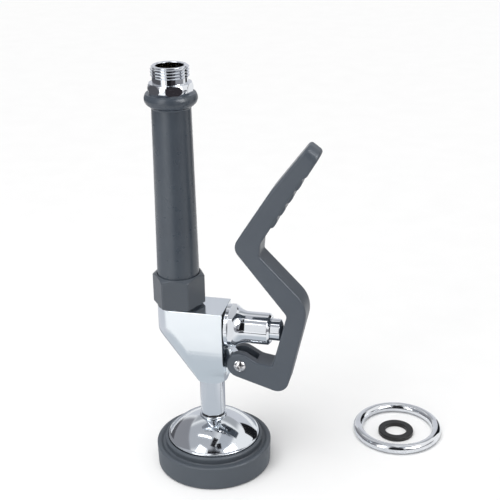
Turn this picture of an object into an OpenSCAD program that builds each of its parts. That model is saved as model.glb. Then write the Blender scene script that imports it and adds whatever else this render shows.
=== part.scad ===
// Pre-rinse spray valve, standing on its spray head.
// The outlet tube's axis is Z, the lever is on the +X side, and the floor is z = 0.

/* [Spray head] */
// Outside diameter of the rubber bumper
bumper_d = 63; // [58:0.5:70]
// Taper of the bumper's side wall, on the radius
bumper_draft = 0.4; // [0:0.1:1]
// Height of the bumper's outer shoulder
shoulder_h = 13.3; // [12:0.1:15]
// Radius that rounds the outer shoulder
shoulder_r = 1.8; // [0.5:0.1:2.4]
// Width of the flat on top of the outer shoulder
shoulder_flat_w = 1.5; // [0.5:0.1:2]
// Radius of the cove between the shoulder and the inner lip
cove_r = 1.8; // [0.8:0.1:2]
// Height of the bumper's inner lip
lip_h = 16.8; // [16:0.1:18]
// Width of the dark groove between the inner lip and the dome's rim
rim_groove_w = 0.6; // [0.3:0.1:1]
// Depth of that groove
rim_groove_h = 1.6; // [1:0.1:2.2]
// Chamfer along the bumper's lower outer edge
bumper_chamfer = 0.8; // [0.3:0.1:1.5]
// Distance from the bumper's side in to the dome's rim
bumper_band_w = 6.8; // [6.2:0.1:8]
// Thickness of the dome's rim
dome_rim_t = 0.9; // [0.6:0.1:1.4]
// How far the rim stands out from the skirt
dome_rim_w = 1.2; // [0.8:0.1:1.6]
// Height of the skirt, from its foot to the rim
skirt_h = 9.4; // [8.8:0.1:10.5]
// Wall of the skirt and of the dome
dome_wall = 1.5; // [1.2:0.1:2]
// Rise of the dome from its rim to its neck
dome_rise = 11; // [9:0.5:13]
// How far the dome bulges above a straight cone
dome_bulge = 1; // [0.4:0.1:2]
// Depth of the recess below the spray plate
recess_h = 4.6; // [4.2:0.1:6]
// Thickness of the spray plate
plate_t = 1.6; // [1.2:0.1:2]
// Diameter of one spray hole
spray_hole_d = 1.8; // [1:0.1:2]
// Thickness of the plate gasket
plate_gasket_t = 1; // [0.6:0.1:1.4]
// Diameter of the central plate screw
plate_screw_d = 3; // [2.5:0.1:4]
// Length of that screw in the hub
plate_screw_l = 8; // [6:0.5:9]

/* [Outlet tube] */
// Outside diameter of the outlet tube
tube_d = 13.5; // [12.8:0.1:14.5]
// Bore of the outlet tube
tube_bore_d = 8.4; // [7:0.1:9]
// Visible length of the outlet tube
tube_l = 20.6; // [14:0.1:26]
// Diameter of the tube's two spigots
spigot_d = 11.4; // [11:0.1:11.8]
// Length of the lower spigot inside the dome's neck
lower_spigot_l = 8; // [6:0.5:8.5]
// Length of the upper spigot inside the body
upper_spigot_l = 10.5; // [8:0.5:12]
// Height of the bright collar on the neck
collar_h = 1.4; // [1:0.1:2]
// Outside diameter of that collar
collar_d = 14.8; // [14.6:0.1:16]
// Thickness of the seal above the collar
collar_seal_t = 1; // [0.6:0.1:1.4]
// Thickness of the seal at the top of the outlet tube
outlet_seal_t = 1.2; // [0.8:0.1:1.6]

/* [Valve body] */
// Height of the body, from its foot to its flat top
body_h = 43; // [40:0.1:48]
// Depth of the body, front to back
body_w = 21; // [20:0.2:24]
// Distance from the outlet axis to the body's flat right face
body_front_x = 8.7; // [8.4:0.1:10]
// Distance between the outlet axis and the grip axis
grip_offset = 16.7; // [16:0.1:19]
// How far the rounded nose is centred beyond the grip axis
nose_offset = 1.2; // [0:0.1:2.5]
// Height of the nose's upright part, below the flat top
nose_h = 11.6; // [10:0.1:14]
// Angle of the sloping underside, from the vertical
underside_lean = 36; // [33:0.5:39]
// Step from the outlet tube out to the body's foot
foot_step = 0.2; // [0.1:0.1:1]
// Radius of the bell above that foot
bell_r = 14; // [12:0.5:18]
// Slope of the bell at the foot, from the vertical
bell_lean = 58; // [50:1:65]
// Height of the round seat below the grip nut
nut_seat_h = 1.2; // [0.8:0.1:2]
// Diameter of that seat
nut_seat_d = 19; // [17:0.5:20.5]
// Depth of the valve axis below the body's flat top
valve_drop = 10.5; // [10.2:0.1:11.5]
// Diameter of the upstream chamber
inlet_chamber_d = 11.2; // [10.6:0.1:11.4]
// Diameter of the chamber below the bonnet's thread
outlet_chamber_d = 13.6; // [13.2:0.1:14]
// Thickness of the pivot lug
lug_t = 5.2; // [4.4:0.1:6]
// Radius of the lug's round end
lug_r = 6.3; // [5.5:0.1:6.6]
// Gap between the lug and the bonnet above it
lug_gap = 0.5; // [0.3:0.1:1]

/* [Valve] */
// Outside diameter of the seat ring
seat_d = 13; // [12:0.1:13.2]
// Bore of the seat ring
seat_bore_d = 7; // [6:0.1:8]
// Length of the seat ring
seat_l = 3; // [2:0.1:3.6]
// Distance from the outlet axis to the seat's sealing face
seat_x = 6.4; // [6:0.1:7]
// Diameter of the valve stem
stem_d = 4; // [3.4:0.1:4.4]
// Diameter of the rubber valve disc
disc_d = 9.2; // [8.6:0.1:9.6]
// Thickness of the rubber valve disc
disc_t = 2; // [1.4:0.1:2.6]
// Thickness of the metal backing behind the disc
backing_t = 1.2; // [0.8:0.1:1.8]
// Width across the flats of the stem nut
stem_nut_af = 5.5; // [5:0.1:6.4]
// Thickness of the stem nut
stem_nut_t = 2.2; // [1.6:0.1:2.8]

/* [Bonnet] */
// Thickness of the bonnet gasket
bonnet_gasket_t = 0.8; // [0.5:0.1:1.2]
// Diameter of the round flange next to the gasket
flange_d = 23.2; // [21:0.2:24]
// Width of that flange
flange_l = 1.9; // [1.2:0.1:2.6]
// How far the flange stands out from the bonnet's thread
flange_step = 3.6; // [3.4:0.1:4.2]
// How far the gasket stays back from the flange's edge
gasket_inset = 1.4; // [1:0.1:2]
// Width across the flats of the bonnet's hexagon
bonnet_af = 21; // [20:0.2:22]
// Width of the hexagon along the valve axis
bonnet_hex_l = 3.7; // [3:0.1:5]
// Turned diameter over the hexagon's corners
bonnet_hex_d = 23.8; // [23:0.1:24.4]
// Length of the hollow neck between hexagon and barrel
neck_l = 5.4; // [4:0.1:7]
// Diameter of the barrel
barrel_d = 16.9; // [16:0.1:18]
// Length of the barrel
barrel_l = 12.5; // [10:0.5:15]
// Chamfer at the barrel's mouth, along and across the axis
barrel_chamfer = 1.1; // [0.5:0.1:1.6]
// Depth of the plunger's guide bore, from the barrel's mouth
guide_l = 15; // [14:0.5:17]
// Length of the bonnet's thread in the body
bonnet_thread_l = 7.4; // [5:0.2:8]
// Diameter of the packing in the bonnet's inner end
packing_d = 8.4; // [7.6:0.1:9]
// Length of the packing
packing_l = 2.2; // [1.8:0.1:3]
// Thickness of the ring that keeps the packing in
packing_ring_t = 1.2; // [0.8:0.1:1.8]

/* [Plunger] */
// Diameter of the plunger
plunger_d = 11.6; // [10.8:0.1:12.4]
// Length of the plunger's straight side outside the barrel
plunger_out_l = 4.7; // [4.4:0.1:6]
// Length of the plunger's straight side inside the barrel
plunger_in_l = 9; // [6:0.5:9.5]
// Height of the plunger's domed end
plunger_dome_h = 1.7; // [1.5:0.1:2]
// Wall of the hollow plunger
plunger_wall = 1.2; // [1:0.1:1.6]
// Depth of the plunger's end wall, from the straight side's end
plunger_end_t = 3; // [2:0.1:4]
// Wire diameter of the return spring
spring_wire_d = 0.9; // [0.7:0.05:1]
// Mean diameter of the return spring
spring_mean_d = 7.2; // [6.8:0.1:7.4]
// Number of turns of the return spring
spring_turns = 6; // [4:1:8]

/* [Lever] */
// Depth of the lever, front to back
lever_w = 14; // [12:0.5:16]
// Radius of the two ears round the pivot
ear_r = 7.1; // [6.8:0.1:7.4]
// Distance from the body's right face to the pivot
pivot_reach = 8.3; // [8.2:0.1:9.5]
// Height of the pivot above the body's foot
pivot_h = 12.3; // [11:0.1:14]
// Width of the slot between the ears
slot_w = 5.8; // [5.6:0.1:6.4]
// Length of the slot beyond the pivot
slot_l = 9; // [8:0.2:11]
// Slope of the lower arm's top next to the ears
ear_slope = 30; // [26:1:34]
// Distance from the pivot to where that slope eases
ear_slope_l = 10; // [9:0.2:12]
// Height of the lower arm's top above the pivot, at the hook's inner corner
arm_rise = 1.2; // [0.6:0.1:2]
// Lean of the hook's inner face, from the vertical
hook_lean = 15.9; // [14:0.1:17]
// Height of the inner elbow above the valve axis
elbow_rise = 11; // [10:0.5:14]
// Lean of the diagonal web, from the vertical
web_lean = 38.9; // [36:0.1:42]
// Height of the inner knee above the inner elbow
knee_rise = 36; // [33:0.5:40]
// Lean of the paddle's lower half, from the vertical
paddle_lean = 32.5; // [30:0.5:35]
// Height of the paddle's bend above the inner knee
bend_rise = 31.6; // [26:0.5:36]
// Extra lean of the paddle's upper half
paddle_curl = 4.8; // [2:0.2:7]
// Height of the paddle's tip above its bend
tip_rise = 24.4; // [20:0.5:28]
// Thickness of the paddle at its tip
tip_t = 6.6; // [5.6:0.1:8]
// Radius of the tip, seen from the front
tip_nose_r = 5; // [3:0.5:5.5]
// Thickness of the paddle near the knee
paddle_t = 10.6; // [9.5:0.1:12]
// Height of the paddle's lower end above the inner knee
paddle_foot_rise = 5.5; // [4:0.5:8]
// Distance from the inner knee to the outer notch
notch_x = 14.6; // [13.6:0.1:16]
// Depth of the outer notch below the inner knee
notch_drop = 3.1; // [2:0.1:5]
// Distance from the inner elbow to the outer elbow's corner
elbow_x = 11.3; // [10.5:0.1:13]
// Height of the outer elbow's corner above the inner elbow
elbow_up = 5.9; // [5:0.1:7]
// Distance from the hook's inner corner to the heel's corner
heel_x = 7.1; // [6:0.1:8]
// Depth of the heel's corner below the lower arm's top
heel_drop = 16.2; // [15:0.1:18]
// Number of finger ridges on the paddle
ridge_count = 5; // [3:1:6]
// Distance from one finger ridge to the next
ridge_pitch = 8.4; // [7.6:0.1:8.8]
// Height of a finger ridge
ridge_h = 1.1; // [0.6:0.1:1.6]
// Distance from the paddle's tip to the first ridge's crest
ridge_start = 10.6; // [9.5:0.1:12]
// Plain margin beside the ridges
ridge_margin = 1.6; // [1.2:0.1:2.5]
// Diameter of the pivot screw's shank
pivot_d = 4; // [3.4:0.1:4.4]
// Diameter of the pivot screw's head
pivot_head_d = 6.9; // [6:0.1:8]
// Height of the pivot screw's head
pivot_head_h = 1.8; // [1.2:0.1:2.4]
// Width across the flats of the pivot nut
pivot_nut_af = 7; // [6.4:0.1:8]
// Thickness of the pivot nut
pivot_nut_t = 3.2; // [2.4:0.1:3.6]

/* [Grip] */
// Width across the flats of the grip nut
grip_nut_af = 24.2; // [23.4:0.1:26]
// Turn of the grip nut, from flats facing front and back
grip_nut_turn = 7; // [0:1:12]
// Height of the grip nut
grip_nut_h = 17.7; // [15:0.1:20]
// Thickness of the grip nut's floor
grip_nut_floor = 2.3; // [1.6:0.1:3]
// Depth of the recess that takes the sleeve's shoulder
grip_recess_h = 1.2; // [0.8:0.1:2]
// Gap round the sleeve in that recess
grip_recess_gap = 0.3; // [0.2:0.05:0.5]
// Diameter over the grip nut's rounded corners
grip_nut_corner_d = 27.4; // [26.8:0.1:28]
// Height of the slope round the grip nut's top
grip_nut_slope_h = 2.8; // [1.5:0.1:3.5]
// Visible length of the sleeve, up to the nipple
sleeve_l = 96.2; // [80:0.5:110]
// Diameter of the sleeve at the grip nut
sleeve_low_d = 22; // [21.6:0.1:22.4]
// Diameter of the sleeve below its bead
sleeve_top_d = 19.8; // [19.2:0.1:21]
// Diameter of the sleeve inside the grip nut
sleeve_root_d = 19.6; // [19:0.1:20]
// Outside diameter of the bead at the sleeve's top
bead_d = 26.6; // [25.6:0.1:27.6]
// Radius of the bead's round section
bead_r = 4.1; // [3.6:0.1:4.3]
// Depth of the bead's centre below the sleeve's flat top
bead_drop = 2.5; // [2:0.1:3.5]
// Outside diameter of the brass supply tube
supply_d = 14; // [13.2:0.1:14.4]
// Bore of the brass supply tube
supply_bore_d = 10; // [9:0.1:10.6]
// Depth of the supply tube's thread in the body
supply_thread_l = 4.4; // [4:0.1:4.8]
// Thickness of the seal below the supply tube
tube_seal_t = 1.2; // [0.8:0.1:1.4]

/* [Inlet] */
// Major diameter of the inlet thread
thread_d = 19.05; // [18.6:0.05:19.6]
// Length of the inlet thread
thread_l = 4.8; // [4:0.1:6]
// Chamfer at the start of the thread
thread_chamfer = 0.7; // [0.4:0.1:1]
// Diameter of the plain neck below the thread
relief_d = 17.8; // [17:0.1:18.2]
// Length of the plain neck
relief_l = 3; // [2:0.1:4]
// Turned diameter of the wrench collar
collar_turn_d = 22.5; // [22:0.1:23]
// Width across the flats of the wrench collar
collar_af = 21.4; // [20.6:0.1:21.8]
// Turn of the wrench collar's flats
collar_flat_turn = 22; // [0:1:59]
// Height of the wrench collar
collar_full_h = 5.2; // [4.4:0.1:6]
// Chamfer along the collar's upper edge
collar_chamfer = 1.2; // [0.6:0.1:1.6]
// Chamfer along the collar's lower edge
collar_low_chamfer = 0.6; // [0.3:0.1:1]
// Diameter of the inlet's mouth
mouth_d = 13.7; // [13:0.1:14.4]
// Depth of the inlet's mouth
mouth_l = 9.8; // [8:0.2:11]
// Diameter of the waterway below the mouth
waterway_d = 11; // [10:0.1:12]
// Diameter of the brass insert that holds the nipple in the sleeve
nipple_spigot_d = 17; // [16.4:0.1:17.4]
// Length of that insert inside the sleeve
nipple_spigot_l = 12; // [9:0.5:15]
// Length of the supply tube inside the insert
nipple_overlap_l = 7; // [5:0.5:9]
// Thickness of the nipple's seal
nipple_seal_t = 1.2; // [0.8:0.1:1.6]

/* [Loose pieces] */
// Distance from the outlet axis to the ring's centre, to the right
ring_x = 97.2; // [85:0.1:130]
// Distance from the outlet axis to the ring's centre, to the back
ring_y = 47.2; // [20:0.1:80]
// Mean diameter of the hold-open ring
ring_d = 45; // [42:0.5:50]
// Wire diameter of the hold-open ring
ring_wire_d = 5.5; // [4:0.1:6]
// Outside diameter of the hose washer
washer_d = 20; // [18:0.1:22]
// Bore of the hose washer
washer_bore_d = 12.5; // [11:0.1:14]
// Thickness of the hose washer
washer_t = 2.5; // [2:0.1:3]
// How far the washer lies left of the ring's centre
washer_left = 0.6; // [0:0.1:3]
// How far the washer lies in front of the ring's centre
washer_front = 1.4; // [0:0.1:3]

/* [Fits] */
// Radial clearance between pieces that are fastened together
fit = 0.05; // [0.03:0.01:0.1]
// Radial clearance of shafts that turn or slide
run_fit = 0.06; // [0.04:0.01:0.09]
// Gap between flat faces that pass each other
side_gap = 0.1; // [0.05:0.01:0.2]

/* [Hidden] */
$fn = 64;
// Extra length of a cut past a face
over = 1;
// Length that reaches past the whole object
past_all = 120;
// Largest turn between two points on an arc
arc_step = 6;
// Corner radii along the lever's outline
ease_r = 8;
hook_foot_r = 1.6;
inner_elbow_r = 3;
knee_r = 6.5;
bend_r = 60;
inner_tip_r = 1.6;
outer_tip_r = 2.2;
paddle_foot_r = 20;
notch_r = 1.5;
outer_elbow_r = 12;
heel_r = 6.5;
// Small details that stay as they are
lip_edge_r = 0.5;
rib_t = 1.4;
rib_h = 4;
spray_row_w = 5.5;

// Diameters that follow from others
dome_d = bumper_d - 2 * bumper_band_w;
bonnet_thread_d = flange_d - 2 * flange_step;

// Levels of the spray head
plate_z = recess_h;
plate_top_z = plate_z + plate_t;
skirt_z = plate_top_z + plate_gasket_t;
rim_z = skirt_z + skirt_h;
rim_top_z = rim_z + dome_rim_t;
neck_z = rim_top_z + dome_rise;
collar_top_z = neck_z + collar_h;
tube_z = collar_top_z + collar_seal_t;
skirt_r = dome_d / 2 - dome_rim_w;

// Levels of the body
body_z = tube_z + tube_l;
body_top_z = body_z + body_h;
valve_z = body_top_z - valve_drop;
nose_x = -grip_offset - nose_offset;
knee_z = body_top_z - nose_h;
pivot_x = body_front_x + pivot_reach;
pivot_z = body_z + pivot_h;
outlet_seal_z = body_z + upper_spigot_l;
lug_top_z = valve_z - bonnet_hex_d / 2 - lug_gap;

// Places along the valve axis
flange_x = body_front_x + bonnet_gasket_t;
hex_x = flange_x + flange_l;
neck_x = hex_x + bonnet_hex_l;
barrel_x = neck_x + neck_l;
mouth_x = barrel_x + barrel_l;
shoulder_x = mouth_x - guide_l;
bonnet_end_x = body_front_x - bonnet_thread_l;
plunger_end_x = mouth_x + plunger_out_l;
plunger_tip_x = plunger_end_x + plunger_dome_h;
plunger_floor_x = plunger_end_x - plunger_end_t;
disc_x = -seat_x - fit - disc_t;
backing_x = disc_x - backing_t;
stem_nut_x = backing_x - stem_nut_t;
chamber_end_x = stem_nut_x - 8.5;

// Levels of the grip
nut_z = body_top_z + nut_seat_h;
nut_top_z = nut_z + grip_nut_h;
sleeve_z = nut_top_z - grip_recess_h;
nipple_z = sleeve_z + sleeve_l;
bead_z = nipple_z - bead_drop;
supply_z = nut_z - supply_thread_l;
supply_top_z = nipple_z - nipple_spigot_l + nipple_overlap_l;
nipple_step_z = supply_top_z + nipple_seal_t;
relief_z = nipple_z + collar_full_h;
thread_z = relief_z + relief_l;
inlet_z = thread_z + thread_l + thread_chamfer;
mouth_floor_z = inlet_z - mouth_l;

// ---------- shared shapes ----------

function unit(v) = v / norm(v);

function lean(degrees) = [tan(degrees), 1];

// Points of an arc from angle a0 to angle a1, centred on c
function arc(c, r, a0, a1) =
    let(steps = max(2, ceil(abs(a1 - a0) / arc_step)))
    [for (i = [0:steps]) c + r * [cos(a0 + (a1 - a0) * i / steps), sin(a0 + (a1 - a0) * i / steps)]];

// The arc that rounds corner q, between its neighbours p and s
function round_corner(p, q, s, r) =
    let(
        u = unit(p - q),
        v = unit(s - q),
        half = acos(u * v) / 2,
        centre = q + unit(u + v) * r / sin(half),
        from = q + u * r / tan(half) - centre,
        to = q + v * r / tan(half) - centre,
        a0 = atan2(from[1], from[0]),
        turn = atan2(from[0] * to[1] - from[1] * to[0], from * to)
    )
    arc(centre, r, a0, a0 + turn);

// A path from corners [point, radius]; its first and last corners only give a direction
function rounded_path(corners) = [
    for (i = [1:len(corners) - 2])
        each round_corner(corners[i - 1][0], corners[i][0], corners[i + 1][0], corners[i][1])
];

// Places a shape drawn upright so that its axis runs along the valve axis from x
module on_valve_axis(x) {
    translate([x, 0, valve_z]) rotate([0, 90, 0]) children();
}

// Extrudes a side view, front to back, centred on the object's middle plane
module side_view(width) {
    rotate([90, 0, 0]) linear_extrude(width, center = true) children();
}

module ring(r_in, r_out, h) {
    difference() {
        cylinder(h = h, r = r_out);
        translate([0, 0, -over]) cylinder(h = h + 2 * over, r = r_in);
    }
}

module hexagon(across_flats, h) {
    cylinder(h = h, r = across_flats / 2 / cos(30), $fn = 6);
}

// ---------- spray head ----------

module bumper() {
    r = bumper_d / 2;
    lip_r = dome_d / 2 + rim_groove_w;
    cove_x = r - shoulder_r - shoulder_flat_w;
    color("#646B75") rotate_extrude() polygon(concat(
        [
            [skirt_r + fit, 0],
            [r - bumper_draft - bumper_chamfer, 0],
            [r - bumper_draft, bumper_chamfer]
        ],
        arc([r - shoulder_r, shoulder_h - shoulder_r], shoulder_r, 0, 90),
        arc([cove_x, shoulder_h + cove_r], cove_r, 270, 180),
        arc([cove_x - cove_r - lip_edge_r, lip_h - lip_edge_r], lip_edge_r, 0, 90),
        [
            [lip_r, lip_h],
            [lip_r, lip_h - rim_groove_h],
            [skirt_r + fit, lip_h - rim_groove_h]
        ]
    ));
}

module spray_dome() {
    rim_r = dome_d / 2;
    neck_r = collar_d / 2;
    socket_r = spigot_d / 2 + fit;
    hub_r = plate_screw_d / 2 + 1.5;
    hub_h = plate_screw_l + 1;
    inner_r = skirt_r - dome_wall;
    boss_r = socket_r + dome_wall + 1;
    boss_z = tube_z - lower_spigot_l - over;
    // The bulging cone is an arc through the rim and the neck
    rim = [rim_r - dome_rim_t / 2, rim_top_z];
    neck = [neck_r, neck_z];
    chord = norm(neck - rim);
    bulge_r = (chord * chord / 4 + dome_bulge * dome_bulge) / (2 * dome_bulge);
    across = unit(neck - rim);
    bulge_c = (rim + neck) / 2 + [-across[1], across[0]] * (bulge_r - dome_bulge);
    from = rim - bulge_c;
    to = neck - bulge_c;
    color("#D5DADF") {
        rotate_extrude() polygon(concat(
            [[inner_r, skirt_z], [skirt_r, skirt_z], [skirt_r, rim_z], [rim_r, rim_z]],
            [[rim_r, rim_top_z - dome_rim_t / 2]],
            arc(bulge_c, bulge_r, atan2(from[1], from[0]), atan2(to[1], to[0])),
            [[socket_r, neck_z], [socket_r, boss_z], [boss_r, boss_z]],
            [[boss_r, neck_z - 1.9 * dome_wall], [inner_r, rim_top_z - dome_wall]]
        ));
        difference() {
            union() {
                translate([0, 0, plate_top_z]) cylinder(h = hub_h, r = hub_r);
                for (a = [90, 210, 330])
                    rotate(a) translate([0, -rib_t / 2, skirt_z + over]) cube([inner_r + rib_t, rib_t, rib_h]);
            }
            translate([0, 0, plate_top_z - over])
                cylinder(h = plate_screw_l + over, r = plate_screw_d / 2 + fit);
        }
    }
}

module spray_plate() {
    color("#C4C8CC") difference() {
        translate([0, 0, plate_z]) cylinder(h = plate_t, r = skirt_r - fit);
        translate([0, 0, plate_z - over]) {
            cylinder(h = plate_t + 2 * over, r = plate_screw_d / 2 + fit);
            for (row = [1:3], i = [0:6 * row - 1])
                rotate(60 * i / row) translate([spray_row_w * row + 1, 0, 0])
                    cylinder(h = plate_t + 2 * over, r = spray_hole_d / 2);
        }
    }
}

module plate_gasket() {
    color("#2B2B2D") translate([0, 0, plate_top_z])
        ring(skirt_r - dome_wall, skirt_r - fit, plate_gasket_t);
}

module plate_screw() {
    head_r = plate_screw_d * 0.95;
    head_h = plate_screw_d * 0.5;
    color("#C9CCD0") {
        translate([0, 0, plate_z - fit]) cylinder(h = plate_t + plate_screw_l - over, r = plate_screw_d / 2);
        translate([0, 0, plate_z - head_h]) cylinder(h = head_h, r1 = head_r - 0.6, r2 = head_r);
    }
}

// ---------- outlet tube ----------

module outlet_tube() {
    color("#D5DADF") difference() {
        union() {
            translate([0, 0, tube_z]) cylinder(h = tube_l, d = tube_d);
            translate([0, 0, tube_z - lower_spigot_l])
                cylinder(h = lower_spigot_l + tube_l + upper_spigot_l, d = spigot_d);
        }
        translate([0, 0, tube_z - lower_spigot_l - over])
            cylinder(h = lower_spigot_l + tube_l + upper_spigot_l + 2 * over, d = tube_bore_d);
    }
}

module tube_collar() {
    r = collar_d / 2;
    edge = 0.4;
    color("#D5DADF") translate([0, 0, neck_z]) rotate_extrude() polygon([
        [spigot_d / 2 + fit, 0], [r - edge / 2, 0], [r, edge], [r, collar_h - edge],
        [r - edge, collar_h], [spigot_d / 2 + fit, collar_h]
    ]);
}

module collar_seal() {
    color("#232324") translate([0, 0, collar_top_z])
        ring(spigot_d / 2 + fit, (spigot_d + tube_d) / 4, collar_seal_t);
}

module outlet_seal() {
    color("#232324") translate([0, 0, outlet_seal_z]) ring(tube_bore_d / 2, spigot_d / 2, outlet_seal_t);
}

// ---------- valve body ----------

// Round at one end and straight-sided up to x = reach
module stadium(reach) {
    circle(d = body_w);
    translate([0, -body_w / 2]) square([reach, body_w]);
}

// An upright nose and a sloping underside, rounded to a bell round the outlet axis
module body_casting() {
    foot_r = tube_d / 2 + foot_step;
    bell_c = [foot_r - bell_r * cos(bell_lean), body_z + bell_r * sin(bell_lean)];
    intersection() {
        translate([nose_x, 0, body_z]) linear_extrude(body_h) stadium(body_front_x - nose_x);
        translate([nose_x, 0, knee_z]) rotate([0, 180 - underside_lean, 0]) mirror([1, 0, 0])
            linear_extrude(past_all, center = true) stadium(past_all);
        rotate_extrude() polygon(concat(
            [[0, body_z]],
            arc(bell_c, bell_r, -bell_lean, -20),
            [[past_all, bell_c[1]], [past_all, body_top_z + over], [0, body_top_z + over]]
        ));
    }
}

// The lug between the lever's ears, with its web down to the bell
module lug_outline() {
    translate([pivot_x, pivot_z]) circle(lug_r);
    polygon([
        [0, body_z + over], [0, lug_top_z], [body_front_x, lug_top_z], [pivot_x, pivot_z + lug_r],
        [pivot_x - lug_r * cos(60), pivot_z - lug_r * sin(60)], [tube_d / 2, body_z + over]
    ]);
}

module valve_body() {
    color("#D5DADF") difference() {
        union() {
            body_casting();
            translate([-grip_offset, 0, body_top_z - over]) cylinder(h = nut_seat_h + over, d = nut_seat_d);
            side_view(lug_t) lug_outline();
        }
        // Outlet passage and the socket of the outlet tube
        translate([0, 0, body_z - over])
            cylinder(h = upper_spigot_l + outlet_seal_t + over, r = spigot_d / 2 + fit);
        cylinder(h = valve_z, d = tube_bore_d);
        // Supply socket above the upstream chamber
        translate([-grip_offset, 0, supply_z - tube_seal_t])
            cylinder(h = supply_thread_l + tube_seal_t + over, r = supply_d / 2 + fit);
        translate([-grip_offset, 0, valve_z]) cylinder(h = supply_z - valve_z, d = supply_bore_d);
        // Valve bore, stepped from the thread down to the upstream chamber
        on_valve_axis(bonnet_end_x) cylinder(h = bonnet_thread_l + over, r = bonnet_thread_d / 2 + fit);
        on_valve_axis(seat_l - seat_x) cylinder(h = bonnet_end_x - seat_l + seat_x + over, d = outlet_chamber_d);
        on_valve_axis(-seat_x) cylinder(h = seat_l + over, r = seat_d / 2 + fit);
        on_valve_axis(chamber_end_x) cylinder(h = -seat_x - chamber_end_x + over, d = inlet_chamber_d);
        // Pivot hole
        translate([pivot_x, 0, pivot_z]) rotate([90, 0, 0])
            cylinder(h = body_w, r = pivot_d / 2 + fit, center = true);
    }
}

// ---------- valve ----------

module valve_seat() {
    color("#C9A24B") on_valve_axis(-seat_x) ring(seat_bore_d / 2, seat_d / 2, seat_l);
}

module valve_disc() {
    color("#232324") on_valve_axis(disc_x) ring(stem_d / 2 + fit, disc_d / 2, disc_t);
}

module disc_backing() {
    color("#C9A24B") on_valve_axis(backing_x) ring(stem_d / 2 + fit, disc_d / 2, backing_t);
}

module stem_nut() {
    color("#C9A24B") on_valve_axis(stem_nut_x) difference() {
        hexagon(stem_nut_af, stem_nut_t);
        translate([0, 0, -over]) cylinder(h = stem_nut_t + 2 * over, r = stem_d / 2 + fit);
    }
}

module valve_stem() {
    tail_x = stem_nut_x - 0.6;
    color("#C9A24B") on_valve_axis(tail_x) cylinder(h = plunger_end_x - tail_x, d = stem_d);
}

// ---------- bonnet ----------

// Outside of the bonnet: [distance along the axis, radius], a hollow neck and a chamfered mouth
module bonnet_shell() {
    barrel_r = barrel_d / 2;
    neck_r = bonnet_hex_d / 2 - 0.6;
    drop = neck_r - barrel_r;
    hollow_r = (neck_l * neck_l + drop * drop) / (2 * drop);
    sweep = asin(neck_l / hollow_r);
    hollow = [for (p = arc([barrel_r + hollow_r, barrel_x], hollow_r, 180 + sweep, 180)) p];
    on_valve_axis(0) rotate_extrude() polygon(concat(
        [[0, bonnet_end_x], [bonnet_thread_d / 2, bonnet_end_x], [bonnet_thread_d / 2, flange_x]],
        [[flange_d / 2 - 0.4, flange_x], [flange_d / 2, flange_x + 0.4]],
        [[flange_d / 2, hex_x - 0.4], [flange_d / 2 - 0.4, hex_x], [neck_r, hex_x], [neck_r, neck_x]],
        hollow,
        [[barrel_r, mouth_x - barrel_chamfer], [barrel_r - barrel_chamfer, mouth_x], [0, mouth_x]]
    ));
}

module bonnet() {
    edge = 0.6;
    r = bonnet_hex_d / 2;
    color("#D5DADF") difference() {
        union() {
            intersection() {
                on_valve_axis(hex_x) hexagon(bonnet_af, bonnet_hex_l);
                on_valve_axis(hex_x) rotate_extrude() polygon([
                    [0, 0], [r - edge, 0], [r, edge], [r, bonnet_hex_l - edge], [r - edge, bonnet_hex_l],
                    [0, bonnet_hex_l]
                ]);
            }
            bonnet_shell();
        }
        on_valve_axis(shoulder_x) cylinder(h = guide_l + over, r = plunger_d / 2 + run_fit);
        on_valve_axis(bonnet_end_x - over) cylinder(h = mouth_x - bonnet_end_x, r = stem_d / 2 + run_fit);
        on_valve_axis(bonnet_end_x - over)
            cylinder(h = packing_ring_t + packing_l + over, r = packing_d / 2 + fit);
    }
}

module bonnet_gasket() {
    color("#232324") on_valve_axis(body_front_x)
        ring(bonnet_thread_d / 2 + fit, flange_d / 2 - gasket_inset, bonnet_gasket_t);
}

module stem_packing() {
    color("#232324") on_valve_axis(bonnet_end_x + packing_ring_t)
        ring(stem_d / 2 + run_fit, packing_d / 2, packing_l);
}

module packing_ring() {
    color("#C9A24B") on_valve_axis(bonnet_end_x) ring(stem_d / 2 + 3 * run_fit, packing_d / 2, packing_ring_t);
}

// ---------- plunger ----------

module plunger() {
    r = plunger_d / 2;
    dome_r = (r * r + plunger_dome_h * plunger_dome_h) / (2 * plunger_dome_h);
    sweep = asin(r / dome_r);
    hollow_l = plunger_out_l + plunger_in_l - plunger_end_t;
    color("#D5DADF") difference() {
        on_valve_axis(0) rotate_extrude() polygon(concat(
            [[0, mouth_x - plunger_in_l], [r, mouth_x - plunger_in_l]],
            arc([0, plunger_tip_x - dome_r], dome_r, 90 - sweep, 90)
        ));
        on_valve_axis(mouth_x - plunger_in_l - over) cylinder(h = hollow_l + over, r = r - plunger_wall);
        on_valve_axis(plunger_floor_x - over) cylinder(h = plunger_end_t + over, r = stem_d / 2 + fit);
    }
}

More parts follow.
